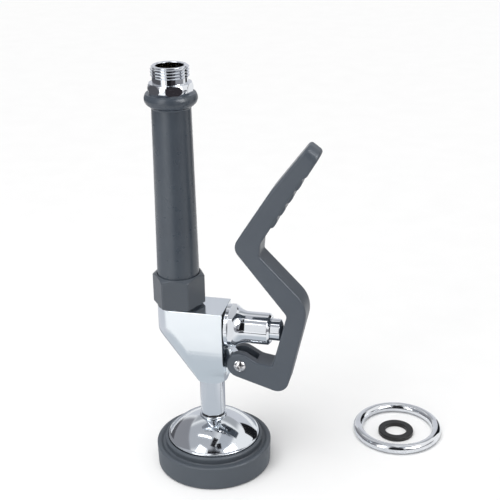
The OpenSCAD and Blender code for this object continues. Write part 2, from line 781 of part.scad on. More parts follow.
// One unbroken wire from the bonnet's shoulder to the plunger's floor
module return_spring() {
    sides = 6;
    rings_per_turn = 12;
    wire_r = spring_wire_d / 2;
    length = plunger_floor_x - shoulder_x - spring_wire_d - 2 * side_gap;
    count = rings_per_turn * spring_turns;
    pitch = length / spring_turns;
    climb = atan(pitch / (PI * spring_mean_d));
    echo(least_gap_between_turns = pitch * cos(climb) - spring_wire_d);
    rings = [
        for (i = [0:count])
            let(
                a = 360 * i / rings_per_turn,
                out = [cos(a), sin(a), 0],
                side = [sin(a) * sin(climb), -cos(a) * sin(climb), cos(climb)],
                c = out * spring_mean_d / 2 + [0, 0, wire_r + side_gap + length * i / count]
            )
            [for (k = [0:sides - 1]) c + wire_r * (out * cos(60 * k) + side * sin(60 * k))]
    ];
    walls = [
        for (i = [0:count - 1], k = [0:sides - 1])
            let(a = i * sides + k, b = i * sides + (k + 1) % sides)
            each [[a, b + sides, b], [a, a + sides, b + sides]]
    ];
    ends = [
        for (k = [1:sides - 2]) each [[0, k, k + 1], [count * sides, count * sides + k + 1, count * sides + k]]
    ];
    color("#B9BCC0") on_valve_axis(shoulder_x) polyhedron([for (r = rings) each r], concat(walls, ends));
}

// ---------- lever ----------

// The hook's inner face just clears the plunger's dome at rest
function hook_x(z) = hook_face_x + (z - valve_z) * tan(hook_lean);
plunger_ball_r = (pow(plunger_d / 2, 2) + pow(plunger_dome_h, 2)) / (2 * plunger_dome_h);
hook_face_x = plunger_tip_x - plunger_ball_r + (plunger_ball_r + side_gap) / cos(hook_lean);

pivot = [pivot_x, pivot_z];
arm_top_z = pivot_z + arm_rise;
inner_foot = [hook_x(arm_top_z), arm_top_z];
inner_elbow = [hook_x(valve_z + elbow_rise), valve_z + elbow_rise];
inner_knee = inner_elbow + knee_rise * lean(-web_lean);
inner_bend = inner_knee + bend_rise * lean(paddle_lean);
inner_tip = inner_bend + tip_rise * lean(paddle_lean + paddle_curl);
paddle_along = unit(lean(paddle_lean + paddle_curl));
outer_tip = inner_tip + tip_t * [paddle_along[1], -paddle_along[0]];
outer_foot = inner_knee + paddle_foot_rise * lean(paddle_lean) + [paddle_t / cos(paddle_lean), 0];
outer_notch = inner_knee + [notch_x, -notch_drop];
outer_elbow = inner_elbow + [elbow_x, elbow_up];
heel = inner_foot + [heel_x, -heel_drop];

// The ear's arc runs from the lever's bottom edge round to its sloping top
ear_top = pivot + ear_r * [sin(ear_slope), cos(ear_slope)];
ear_slope_end = ear_top + (pivot_x + ear_slope_l - ear_top[0]) * [1, -tan(ear_slope)];
to_pivot = pivot - heel;
ear_low_angle = atan2(to_pivot[1], to_pivot[0]) + asin(ear_r / norm(to_pivot)) + 90;
ear_low = pivot + ear_r * [cos(ear_low_angle), sin(ear_low_angle)];

lever_outline = concat(
    arc(pivot, ear_r, ear_low_angle, 90 - ear_slope),
    rounded_path([
        [ear_top],
        [ear_slope_end, ease_r],
        [inner_foot, hook_foot_r],
        [inner_elbow, inner_elbow_r],
        [inner_knee, knee_r],
        [inner_bend, bend_r],
        [inner_tip, inner_tip_r],
        [outer_tip, outer_tip_r],
        [outer_foot, paddle_foot_r],
        [outer_notch, notch_r],
        [outer_elbow, outer_elbow_r],
        [heel, heel_r],
        [ear_low]
    ])
);

// The finger ridges rise slowly towards the knee and drop off at their crests
module finger_ridges() {
    down = unit(outer_foot - outer_tip);
    out = [-down[1], down[0]];
    root = 0.6;
    step = 1.8;
    side_view(lever_w - 2 * ridge_margin) for (i = [0:ridge_count - 1]) {
        crest = outer_tip + down * (ridge_start + ridge_pitch * i);
        polygon([
            crest - down * ridge_pitch - out * root, crest + out * ridge_h,
            crest + out * ridge_h * 0.8 + down * 0.5, crest + down * step - out * root
        ]);
    }
}

// The lever's outline along the paddle, with a round nose at the tip
module tip_nose() {
    along = 90 - atan2(paddle_along[1], paddle_along[0]);
    // The nose is a little wider than the lever, so that it meets the sides at an angle
    side_y = lever_w / 2 + 0.4 - tip_nose_r;
    wide = lever_w + 2 * over;
    translate([inner_tip[0], 0, inner_tip[1]]) rotate([0, along, 0]) rotate([0, 90, 0])
        linear_extrude(2 * past_all, center = true) {
            translate([tip_nose_r, -wide / 2]) square([2 * past_all, wide]);
            translate([0, -side_y]) square([tip_nose_r + over, 2 * side_y]);
            for (side = [-1, 1])
                translate([tip_nose_r, side * side_y]) circle(tip_nose_r);
        }
}

module lever() {
    color("#565E68") difference() {
        union() {
            intersection() {
                side_view(lever_w) polygon(lever_outline);
                tip_nose();
            }
            finger_ridges();
        }
        translate([pivot_x - ear_r - over, -slot_w / 2, pivot_z - 2 * ear_r])
            cube([ear_r + slot_l + over, slot_w, 3 * ear_r + over]);
        translate([pivot_x, 0, pivot_z]) rotate([90, 0, 0])
            cylinder(h = lever_w + 2 * over, r = pivot_d / 2 + run_fit, center = true);
    }
}

module pivot_screw() {
    face_y = lever_w / 2 + side_gap;
    crown_r = (pow(pivot_head_d / 2, 2) + pow(pivot_head_h, 2)) / (2 * pivot_head_h);
    sweep = asin(pivot_head_d / 2 / crown_r);
    color("#C9CCD0") translate([pivot_x, 0, pivot_z]) {
        rotate([-90, 0, 0]) translate([0, 0, -face_y - over / 2])
            cylinder(h = 2 * face_y + pivot_nut_t + over, d = pivot_d);
        translate([0, -face_y, 0]) rotate([90, 0, 0]) rotate_extrude()
            polygon(concat([[0, 0]], arc([0, pivot_head_h - crown_r], crown_r, 90 - sweep, 90)));
    }
}

module pivot_nut() {
    color("#C9CCD0") translate([pivot_x, lever_w / 2 + side_gap, pivot_z]) rotate([-90, 0, 0]) difference() {
        hexagon(pivot_nut_af, pivot_nut_t);
        translate([0, 0, -over]) cylinder(h = pivot_nut_t + 2 * over, r = pivot_d / 2 + fit);
    }
}

// ---------- grip ----------

module grip_nut() {
    lip_r = sleeve_low_d / 2 + grip_recess_gap;
    corner_r = grip_nut_corner_d / 2;
    color("#646B75") translate([-grip_offset, 0, nut_z]) difference() {
        intersection() {
            rotate(grip_nut_turn) hexagon(grip_nut_af, grip_nut_h);
            rotate_extrude() polygon([
                [0, 0], [corner_r, 0], [corner_r, grip_nut_h - grip_nut_slope_h],
                [lip_r + 0.3, grip_nut_h], [0, grip_nut_h]
            ]);
        }
        translate([0, 0, -over]) cylinder(h = grip_nut_h, r = supply_d / 2 + fit);
        translate([0, 0, grip_nut_floor]) cylinder(h = grip_nut_h, r = sleeve_root_d / 2 + fit);
        translate([0, 0, grip_nut_h - grip_recess_h]) cylinder(h = grip_nut_h, r = lip_r);
    }
}

module grip_sleeve() {
    bead_c = bead_d / 2 - bead_r;
    root_z = nut_z + grip_nut_floor;
    spigot_z = nipple_z - nipple_spigot_l - fit;
    bore_r = supply_d / 2 + fit;
    color("#565E68") translate([-grip_offset, 0, 0]) difference() {
        union() {
            rotate_extrude() polygon([
                [bore_r, root_z], [sleeve_root_d / 2, root_z], [sleeve_root_d / 2, sleeve_z],
                [sleeve_low_d / 2, sleeve_z], [sleeve_top_d / 2, bead_z - bead_r / 2],
                [sleeve_top_d / 2, nipple_z - over], [bore_r, nipple_z - over]
            ]);
            rotate_extrude() intersection() {
                translate([bead_c, bead_z]) circle(bead_r);
                translate([bore_r, bead_z - bead_r - over]) square([bead_d / 2, bead_r + over + nipple_z - bead_z]);
            }
        }
        translate([0, 0, spigot_z]) cylinder(h = nipple_spigot_l + over, r = nipple_spigot_d / 2 + fit);
    }
}

module supply_tube() {
    color("#C9A24B") translate([-grip_offset, 0, supply_z])
        ring(supply_bore_d / 2, supply_d / 2, supply_top_z - supply_z);
}

module tube_seal() {
    color("#232324") translate([-grip_offset, 0, supply_z - tube_seal_t])
        ring(supply_bore_d / 2, supply_d / 2, tube_seal_t);
}

module nipple_seal() {
    color("#232324") translate([-grip_offset, 0, supply_top_z])
        ring(waterway_d / 2, supply_d / 2, nipple_seal_t);
}

// ---------- inlet ----------

// Its lower end is the spigot inside the sleeve, and its upper end is the floor of the inlet's mouth
module nipple_insert() {
    spigot_r = nipple_spigot_d / 2;
    plug_r = mouth_d / 2 - fit;
    spigot_z = nipple_z - nipple_spigot_l;
    color("#C9A24B") translate([-grip_offset, 0, 0]) rotate_extrude() polygon([
        [supply_d / 2 + fit, spigot_z], [spigot_r, spigot_z], [spigot_r, nipple_z], [plug_r, nipple_z],
        [plug_r, mouth_floor_z], [waterway_d / 2, mouth_floor_z],
        [waterway_d / 2, nipple_step_z], [supply_d / 2 + fit, nipple_step_z]
    ]);
}

module inlet_nipple() {
    mouth_r = mouth_d / 2;
    thread_r = thread_d / 2;
    turn_r = collar_turn_d / 2;
    relief_r = relief_d / 2;
    color("#D5DADF") translate([-grip_offset, 0, 0]) {
        rotate_extrude() polygon([
            [mouth_r, nipple_z], [relief_r, nipple_z], [relief_r, thread_z],
            [thread_r, thread_z], [thread_r, inlet_z - thread_chamfer],
            [thread_r - thread_chamfer, inlet_z], [mouth_r, inlet_z]
        ]);
        intersection() {
            translate([0, 0, nipple_z]) rotate(collar_flat_turn) hexagon(collar_af, collar_full_h);
            rotate_extrude() polygon([
                [relief_r - over, nipple_z], [turn_r - collar_low_chamfer / 2, nipple_z],
                [turn_r, nipple_z + collar_low_chamfer], [turn_r, relief_z - collar_chamfer],
                [relief_r + 0.2, relief_z], [relief_r - over, relief_z]
            ]);
        }
    }
}

// ---------- loose pieces ----------

module hold_open_ring() {
    color("#D5DADF") translate([ring_x, ring_y, ring_wire_d / 2])
        rotate_extrude() translate([ring_d / 2, 0]) circle(d = ring_wire_d);
}

module hose_washer() {
    color("#232324") translate([ring_x - washer_left, ring_y - washer_front, 0])
        ring(washer_bore_d / 2, washer_d / 2, washer_t);
}

bumper();
spray_dome();
spray_plate();
plate_gasket();
plate_screw();
outlet_tube();
tube_collar();
collar_seal();
outlet_seal();
valve_body();
valve_seat();
bonnet();
bonnet_gasket();
stem_packing();
packing_ring();
plunger();
valve_stem();
valve_disc();
disc_backing();
stem_nut();
return_spring();
lever();
pivot_screw();
pivot_nut();
grip_nut();
grip_sleeve();
supply_tube();
tube_seal();
nipple_seal();
nipple_insert();
inlet_nipple();
hold_open_ring();
hose_washer();
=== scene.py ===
"""The looks of a pre-rinse spray valve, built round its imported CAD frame.

Sizes are in millimetres in the frame's own axes: the outlet tube stands on Z, and the lever is on +X.
"""

import math

import bmesh
import bpy
from mathutils import Matrix, Vector


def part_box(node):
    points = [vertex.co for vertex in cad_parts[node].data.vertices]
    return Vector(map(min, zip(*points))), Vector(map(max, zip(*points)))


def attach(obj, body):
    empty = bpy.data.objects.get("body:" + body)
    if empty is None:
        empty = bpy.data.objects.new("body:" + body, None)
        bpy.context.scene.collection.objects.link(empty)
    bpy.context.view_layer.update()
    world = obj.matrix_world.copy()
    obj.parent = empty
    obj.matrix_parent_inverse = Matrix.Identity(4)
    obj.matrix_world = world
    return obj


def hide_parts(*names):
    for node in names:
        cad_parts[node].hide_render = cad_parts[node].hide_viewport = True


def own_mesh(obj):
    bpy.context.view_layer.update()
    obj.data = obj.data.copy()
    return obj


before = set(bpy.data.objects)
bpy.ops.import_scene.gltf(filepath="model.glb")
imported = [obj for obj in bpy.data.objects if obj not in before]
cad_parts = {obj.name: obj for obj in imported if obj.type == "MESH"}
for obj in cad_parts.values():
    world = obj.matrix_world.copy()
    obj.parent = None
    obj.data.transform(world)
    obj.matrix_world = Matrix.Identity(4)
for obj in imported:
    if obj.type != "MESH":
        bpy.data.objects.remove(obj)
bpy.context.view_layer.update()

MM = 0.001
X, Y, Z = 0, 1, 2


def low(node, axis):
    """The lowest place of a CAD node along an axis, in millimetres."""
    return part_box(node)[0][axis] / MM


def high(node, axis):
    """The highest place of a CAD node along an axis, in millimetres."""
    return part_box(node)[1][axis] / MM


def middle(node, axis):
    """The middle of a CAD node along an axis, in millimetres."""
    return (low(node, axis) + high(node, axis)) / 2


# The three axes that everything is turned on or hung from
GRIP_X = middle("inlet_nipple", X)
VALVE_Z = middle("valve_stem", Z)
PIVOT_X, PIVOT_Z = middle("pivot_nut", X), middle("pivot_nut", Z)
ON_GRIP = (GRIP_X, 0)

# ---------- drawing and shaping ----------


def arc(centre, radius, start, end, steps):
    """Points of an arc between two angles in degrees."""
    turns = [math.radians(start + (end - start) * i / steps) for i in range(steps + 1)]
    return [(centre[0] + radius * math.cos(a), centre[1] + radius * math.sin(a)) for a in turns]


def rounded(corners, step=12):
    """Points of an outline whose corners are (across, up) or (across, up, radius of the rounding)."""
    points = []
    for i, (across, up, *radius) in enumerate(corners):
        here = Vector((across, up))
        if not radius:
            points.append(here)
            continue
        back = (Vector(corners[i - 1][:2]) - here).normalized()
        on = (Vector(corners[(i + 1) % len(corners)][:2]) - here).normalized()
        half = back.angle(on) / 2
        centre = here + (back + on).normalized() * radius[0] / math.sin(half)
        start = here + back * radius[0] / math.tan(half) - centre
        end = here + on * radius[0] / math.tan(half) - centre
        points += sweep_between(centre, start, end, step)
    return points


def sweep_between(centre, start, end, step):
    """Points of the shorter arc about a centre, from one arm to another, at most step degrees apart."""
    first = math.atan2(start.y, start.x)
    turn = (math.atan2(end.y, end.x) - first + math.pi) % math.tau - math.pi
    pieces = max(2, math.ceil(math.degrees(abs(turn)) / step))
    return arc(centre, start.length, math.degrees(first), math.degrees(first + turn), pieces)


def hexagon(flats, turn):
    """The corners of a hexagon, from half its width across the flats and a turn in degrees."""
    reach = flats / math.cos(math.radians(30))
    return arc((0, 0), reach, turn, turn + 300, 5)


def cap(radius, height, steps):
    """Points of a domed end as (radius, drop below its top), from its middle to its rim."""
    ball = (radius ** 2 + height ** 2) / (2 * height)
    sweep = math.asin(radius / ball)
    return [(ball * math.sin(sweep * i / steps), ball - ball * math.cos(sweep * i / steps))
            for i in range(steps + 1)]


def rod(radius, start, end):
    """The profile of a plain rod."""
    return [(0, start), (radius, start), (radius, end), (0, end)]


def only(piece):
    """Makes a piece the one selected and active object."""
    if bpy.context.object and bpy.context.object.mode != "OBJECT":
        bpy.ops.object.mode_set(mode="OBJECT")
    bpy.ops.object.select_all(action="DESELECT")
    piece.select_set(True)
    bpy.context.view_layer.objects.active = piece


def draw(name, points, closed=True):
    """Starts a piece in edit mode: a line drawn from point to point, all of it selected."""
    bpy.ops.object.select_all(action="DESELECT")
    bpy.ops.mesh.primitive_plane_add(size=MM)
    piece = bpy.context.object
    piece.name = piece.data.name = name
    bpy.ops.object.mode_set(mode="EDIT")
    bpy.ops.mesh.select_mode(type="VERT")
    bpy.ops.mesh.select_all(action="SELECT")
    bpy.ops.mesh.merge(type="CENTER")
    here = Vector((0, 0, 0))
    for i, point in enumerate(points):
        move = {"value": (Vector(point) - here) * MM}
        if i:
            bpy.ops.mesh.extrude_vertices_move(TRANSFORM_OT_translate=move)
        else:
            bpy.ops.transform.translate(**move)
        here = Vector(point)
    if closed:
        ends = [Vector(points[0]) * MM, Vector(points[-1]) * MM]
        pick("VERT", lambda v: min((v.co - end).length for end in ends) < 0.001 * MM)
        bpy.ops.mesh.edge_face_add()
    bpy.ops.mesh.select_all(action="SELECT")
    return piece


def pick(kind, wanted):
    """Selects the edited mesh's points, edges or faces that pass a test."""
    bpy.ops.mesh.select_mode(type=kind)
    bpy.ops.mesh.select_all(action="DESELECT")
    form = bmesh.from_edit_mesh(bpy.context.object.data)
    for part in {"VERT": form.verts, "EDGE": form.edges, "FACE": form.faces}[kind]:
        if wanted(part):
            part.select_set(True)
    form.select_flush_mode()
    bmesh.update_edit_mesh(bpy.context.object.data)


def close_up(piece):
    """Merges the seam and the poles, turns the faces outwards and leaves edit mode."""
    bpy.ops.mesh.select_mode(type="VERT")
    bpy.ops.mesh.select_all(action="SELECT")
    bpy.ops.mesh.remove_doubles(threshold=0.002 * MM)
    bpy.ops.mesh.normals_make_consistent(inside=False)
    bpy.ops.object.mode_set(mode="OBJECT")
    return piece


def turned(name, profile, axis="Z", closed=True, steps=96, at=(0, 0)):
    """A piece turned on a lathe, from (radius, place along the axis). An upright axis stands at (x, y)."""
    centre, out, along = {
        "X": (Vector((0, 0, VALVE_Z)), Vector((0, 0, 1)), Vector((1, 0, 0))),
        "Y": (Vector((PIVOT_X, 0, PIVOT_Z)), Vector((1, 0, 0)), Vector((0, 1, 0))),
        "Z": (Vector((*at, 0)), Vector((1, 0, 0)), Vector((0, 0, 1))),
    }[axis]
    piece = draw(name, [centre + out * radius + along * place for radius, place in profile], closed)
    bpy.ops.mesh.spin(steps=steps, angle=math.tau, center=centre * MM, axis=along)
    return close_up(piece)


def plate(name, outline, depths):
    """A piece cut from a plate: an outline of 3-D points, drawn out by each of the depths in turn."""
    piece = draw(name, outline)
    bpy.ops.mesh.edge_face_add()
    for depth in depths:
        bpy.ops.mesh.extrude_region_move(TRANSFORM_OT_translate={"value": Vector(depth) * MM})
    return close_up(piece)


def wound(piece, axis, turns, rise, steps, move):
    """Winds the outline being edited into a closed coil with so much rise a turn, and moves it into place."""
    bpy.ops.mesh.edge_face_add()
    only(piece)
    wind = piece.modifiers.new("wind", "SCREW")
    wind.axis, wind.angle, wind.iterations, wind.screw_offset = axis, math.tau, turns, rise * MM
    wind.steps = wind.render_steps = steps
    wind.use_smooth_shade = False
    bpy.ops.object.modifier_apply(modifier=wind.name)
    bpy.ops.object.mode_set(mode="EDIT")
    bpy.ops.mesh.select_all(action="SELECT")
    bpy.ops.transform.translate(value=Vector(move) * MM)
    bpy.ops.mesh.select_mode(type="EDGE")
    bpy.ops.mesh.select_all(action="DESELECT")
    bpy.ops.mesh.select_non_manifold()
    bpy.ops.mesh.fill()
    return close_up(piece)


def combine(piece, tool, operation="DIFFERENCE"):
    """Cuts a piece with a tool, joins them, or keeps what they share."""
    only(piece)
    change = piece.modifiers.new("combine", "BOOLEAN")
    change.operation, change.solver, change.object = operation, "EXACT", tool
    bpy.ops.object.modifier_apply(modifier=change.name)
    bpy.data.objects.remove(tool)


def combine_turned(piece, name, profile, operation="DIFFERENCE", **lathe):
    """Combines a piece with a tool turned on the lathe."""
    combine(piece, turned(name, profile, closed=False, **lathe), operation)


def soften(piece, width, angle, segments=3, merge=0.03):
    """Rounds the edges that are sharper than an angle, once points nearer than the merge are joined."""
    only(piece)
    bpy.ops.object.mode_set(mode="EDIT")
    bpy.ops.mesh.select_all(action="SELECT")
    bpy.ops.mesh.remove_doubles(threshold=merge * MM)
    bpy.ops.mesh.dissolve_limited(angle_limit=math.radians(0.4))
    bpy.ops.object.mode_set(mode="OBJECT")
    edge = piece.modifiers.new("soften", "BEVEL")
    edge.width, edge.segments, edge.use_clamp_overlap = width * MM, segments, False
    edge.limit_method, edge.angle_limit = "ANGLE", math.radians(angle)
    bpy.ops.object.modifier_apply(modifier=edge.name)
    return piece


def fit(piece, body, slot, finish, *nodes, crease=34):
    """Smooths a finished piece, gives it its finish and sets it on its body in place of its CAD nodes."""
    only(piece)
    bpy.ops.object.shade_smooth_by_angle(angle=math.radians(crease))
    even = piece.modifiers.new("even", "WEIGHTED_NORMAL")
    even.keep_sharp = True
    bpy.ops.object.modifier_apply(modifier=even.name)
    piece.data.materials.clear()
    piece.data.materials.append(finish)
    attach(piece, body)
    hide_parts(*nodes)
    return piece


# ---------- finishes ----------
EVEN = (1, 1, 1)


def step(finish, kind, inputs=None, **options):
    """Adds one shader node, sets its options, and joins or sets its inputs."""
    added = finish.node_tree.nodes.new(kind)
    for option, value in options.items():
        setattr(added, option, value)
    for name, value in (inputs or {}).items():
        if isinstance(value, bpy.types.NodeSocket):
            finish.node_tree.links.new(value, added.inputs[name])
        else:
            added.inputs[name].default_value = value
    return added


def grain(finish, size, detail, stretch=EVEN):
    """Noise whose marks are about that many millimetres across, stretched along an axis where asked."""
    place = step(finish, "ShaderNodeTexCoord").outputs["Object"]
    place = step(finish, "ShaderNodeMapping", {"Vector": place, "Scale": stretch}).outputs["Vector"]
    inputs = {"Vector": place, "Scale": 1 / (size * MM), "Detail": detail}
    return step(finish, "ShaderNodeTexNoise", inputs).outputs["Fac"]


def between(finish, value, lowest, highest):
    """Spreads a noise's middle range between two values."""
    start, end = 0.3, 0.7
    inputs = {"Value": value, "From Min": start, "From Max": end, "To Min": lowest, "To Max": highest}
    return step(finish, "ShaderNodeMapRange", inputs).outputs["Result"]


def mixed(finish, share, first, second):
    """A colour between two, by a share."""
    blend = step(finish, "ShaderNodeMix", data_type="RGBA")
    finish.node_tree.links.new(share, blend.inputs["Factor"])
    blend.inputs["A"].default_value, blend.inputs["B"].default_value = (*first, 1), (*second, 1)
    return blend.outputs["Result"]


def surface(name, colours, roughness, bumps, mottle=20, **sockets):
    """A finish: two colours mottled together, a roughness range, and bumps of (size, height, stretch)."""
    finish = bpy.data.materials.new(name)
    finish.use_nodes = True
    shader = finish.node_tree.nodes["Principled BSDF"]
    join = finish.node_tree.links.new
    blotch = between(finish, grain(finish, mottle, 3), 0, 1)
    join(mixed(finish, blotch, *colours), shader.inputs["Base Color"])
    join(between(finish, grain(finish, mottle / 4, 4), *roughness), shader.inputs["Roughness"])
    for socket, value in sockets.items():
        shader.inputs[socket.replace("_", " ")].default_value = value
    normal = None
    for size, height, stretch in bumps:
        inputs = {"Height": grain(finish, size, 3, stretch), "Distance": height * MM, "Strength": 1.0}
        if normal:
            inputs["Normal"] = normal
        normal = step(finish, "ShaderNodeBump", inputs).outputs["Normal"]
    if normal:
        join(normal, shader.inputs["Normal"])
    return finish


cast_chrome = surface(
    "cast_chrome", [(0.74, 0.79, 0.83), (0.78, 0.82, 0.86)], (0.10, 0.16),
    [(14, 0.03, EVEN), (0.5, 0.0006, EVEN)], Metallic=1.0,
)
turned_chrome = surface(
    "turned_chrome", [(0.72, 0.75, 0.79), (0.78, 0.80, 0.84)], (0.04, 0.08),
    [(9, 0.01, EVEN), (0.35, 0.0004, EVEN)], Metallic=1.0,
)
spun_chrome = surface(
    "spun_chrome", [(0.72, 0.76, 0.80), (0.77, 0.80, 0.84)], (0.06, 0.10),
    [(12, 0.02, EVEN), (0.35, 0.0004, EVEN)], Metallic=1.0,
)
wire_chrome = surface(
    "wire_chrome", [(0.72, 0.74, 0.77), (0.80, 0.82, 0.85)], (0.05, 0.10),
    [(5, 0.02, EVEN)], Metallic=1.0, mottle=8,
)
lever_plastic = surface(
    "lever_plastic", [(0.066, 0.080, 0.100), (0.074, 0.089, 0.110)], (0.34, 0.42),
    [(0.35, 0.006, EVEN), (6, 0.02, EVEN)], IOR=1.5,
)
grip_plastic = surface(
    "grip_plastic", [(0.050, 0.062, 0.080), (0.056, 0.070, 0.088)], (0.26, 0.34),
    [(8, 0.006, EVEN)], IOR=1.5,
)
nut_plastic = surface(
    "nut_plastic", [(0.060, 0.072, 0.088), (0.068, 0.081, 0.098)], (0.30, 0.38),
    [(0.4, 0.005, EVEN)], IOR=1.5,
)
bumper_rubber = surface(
    "bumper_rubber", [(0.072, 0.085, 0.102), (0.081, 0.095, 0.113)], (0.42, 0.52),
    [(0.4, 0.008, EVEN), (9, 0.03, EVEN)], IOR=1.5,
)
black_rubber = surface(
    "black_rubber", [(0.012, 0.012, 0.013), (0.022, 0.022, 0.024)], (0.45, 0.65),
    [(0.3, 0.010, EVEN)], IOR=1.5, mottle=6,
)
washer_rubber = surface(
    "washer_rubber", [(0.004, 0.004, 0.0045), (0.008, 0.008, 0.009)], (0.30, 0.45),
    [(0.5, 0.012, EVEN)], IOR=1.5, mottle=6,
)
brushed_steel = surface(
    "brushed_steel", [(0.52, 0.53, 0.55), (0.62, 0.63, 0.65)], (0.22, 0.34),
    [(0.3, 0.006, (1, 0.05, 1))], Metallic=1.0, mottle=4,
)
screw_steel = surface(
    "screw_steel", [(0.60, 0.60, 0.62), (0.70, 0.69, 0.69)], (0.14, 0.24),
    [(0.6, 0.006, EVEN)], Metallic=1.0, mottle=2,
)
turned_brass = surface(
    "turned_brass", [(0.60, 0.42, 0.18), (0.68, 0.50, 0.24)], (0.18, 0.30),
    [(0.3, 0.006, (0.1, 1, 1))], Metallic=1.0, mottle=5,
)

NODE_FINISHES = {
    "spray_plate": brushed_steel, "plate_screw": screw_steel, "plate_gasket": black_rubber,
    "collar_seal": black_rubber, "outlet_seal": black_rubber, "valve_seat": turned_brass,
    "bonnet_gasket": black_rubber, "stem_packing": black_rubber, "packing_ring": turned_brass,
    "valve_stem": turned_brass, "valve_disc": black_rubber, "disc_backing": turned_brass,
    "stem_nut": turned_brass, "supply_tube": turned_brass,
    "tube_seal": black_rubber, "nipple_seal": black_rubber, "nipple_insert": turned_brass,
}
for name, finish in NODE_FINISHES.items():
    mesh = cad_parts[name].data
    mesh.materials.clear()
    mesh.materials.append(finish)

# ---------- spray head ----------


def make_bumper():
    """The rubber ring round the head, with a cove between its wall and its lip."""
    side, top = high("bumper", X), high("bumper", Z)
    bore, lip_in, lip_out = 23.55, 25.3, 26.4
    shoulder, cove, groove = 13.6, 12.5, 15.2
    piece = turned("bumper_moulding", rounded([
        (bore, 0, 0.3), (side - 1.2, 0, 0.4), (side - 0.4, 0.8, 0.5), (side, shoulder, 1.0),
        (29.4, shoulder - 0.3, 1.2), (28.2, cove, 0.8), (lip_out, cove + 0.1, 0.8),
        (lip_out + 0.5, top, 1.2), (lip_in, top, 0.25), (lip_in, groove), (bore, groove),
    ], step=15), steps=144)
    return fit(piece, "valve", "bumper_rubber", bumper_rubber, "bumper")


def make_dome():
    """The spun head: a skirt inside the bumper, a rim, and a bulging dome up to the collar."""
    foot_z, skirt_in, skirt_r, under_z = 7.2, 22, 23.5, 16
    rim_r, rim_z, rim_top, bulge = 24.95, 16.6, 17.5, 1.6
    neck_r, neck_z = 7.4, 28.5
    bore, seat_z, cup_r, cup_z = 5.75, 21.9, 8.25, 25.6
    start = Vector((rim_r - 0.45, rim_top))
    rise = Vector((neck_r, neck_z)) - start
    radius = (rise.length ** 2 / 4 + bulge ** 2) / (2 * bulge)
    centre = start + rise / 2 + Vector((-rise.y, rise.x)).normalized() * (radius - bulge)
    over_dome = sweep_between(centre, start - centre, start + rise - centre, 1)[1:]
    outside = rounded([
        (skirt_in, foot_z), (skirt_r, foot_z), (skirt_r, rim_z), (rim_r, rim_z, 0.2),
        (rim_r, rim_top, 0.35), over_dome[0],
    ])[:-1] + over_dome
    inside = [(bore, neck_z), (bore, seat_z), (cup_r, seat_z), (cup_r, cup_z), (skirt_in, under_z)]
    piece = turned("spray_dome_spinning", outside + inside, steps=144)
    return fit(piece, "valve", "chrome_head", spun_chrome, "spray_dome")


def make_collar():
    """The collar that holds the head on the outlet tube."""
    foot, top = low("tube_collar", Z), high("tube_collar", Z)
    bore, outer = 5.75, high("tube_collar", X)
    piece = turned("neck_collar", rounded([
        (bore, foot), (outer, foot, 0.25), (outer, top, 0.45), (bore, top, 0.2),
    ]))
    return fit(piece, "valve", "chrome_head", spun_chrome, "tube_collar")


def make_outlet_tube():
    """The tube between the head and the body, with a spigot at each end."""
    outer, foot, top = 6.75, 30.9, 51.5
    spigot, bore = 5.7, 4.2
    start, end = low("outlet_tube", Z), high("outlet_tube", Z)
    piece = turned("outlet_pipe", rounded([
        (bore, start, 0.3), (spigot, start, 0.3), (spigot, foot), (outer, foot, 0.35), (outer, top, 0.15),
        (spigot, top), (spigot, end, 0.3), (bore, end, 0.3),
    ]))
    return fit(piece, "valve", "chrome_turned", turned_chrome, "outlet_tube")


# ---------- valve body ----------
BODY_R = 10.5
BODY_FOOT, BODY_TOP = 51.5, 94.5
BODY_FACE = 8.7
NOSE_X, KNEE_Z, LEAN = -17.9, 82.9, 36
PIVOT_HOLE_R = 2.06


def make_casting():
    """The block of the body, grown in slices along Y: an upright round nose that turns under at the knee."""
    slope = math.radians(LEAN)
    foot_z = BODY_FOOT - 2
    run = (KNEE_Z - foot_z) * math.tan(slope)
    side = rounded([(BODY_FACE, BODY_TOP), (NOSE_X, BODY_TOP), (NOSE_X, KNEE_Z, 7), (NOSE_X + run, foot_z),
                    (BODY_FACE, foot_z)], step=6)
    body = draw("valve_casting", [(u, -BODY_R, v) for u, v in side])
    bpy.ops.mesh.edge_face_add()
    # How far each part of the side moves for each millimetre that a slice reaches out
    moves = {
        "top": Vector((-1, 0, 0)),
        "knee": Vector((-1, 0, -math.tan(slope / 2))),
        "foot": Vector((-1 / math.cos(slope), 0, 0)),
    }

    def part_of(height):
        """The part of the side that a height belongs to."""
        return "top" if height > BODY_TOP - 0.01 else "foot" if height < foot_z + 0.01 else "knee"

    turns = [math.radians(a) for a in range(0, 181, 5)]
    slices = [(-BODY_R * math.cos(a), BODY_R * math.sin(a)) for a in turns]
    for (y, reach), (next_y, next_reach) in zip(slices, slices[1:]):
        bpy.ops.mesh.extrude_region_move(TRANSFORM_OT_translate={"value": Vector((0, next_y - y, 0)) * MM})
        for part, move in moves.items():
            pick("VERT", lambda v: abs(v.co.y / MM - next_y) < 1e-3 and v.co.x / MM < BODY_FACE - 0.01
                 and part_of(v.co.z / MM) == part)
            bpy.ops.transform.translate(value=move * (next_reach - reach) * MM)
        pick("FACE", lambda f: all(abs(v.co.y / MM - next_y) < 1e-3 for v in f.verts))
    return soften(close_up(body), 0.5, angle=60)


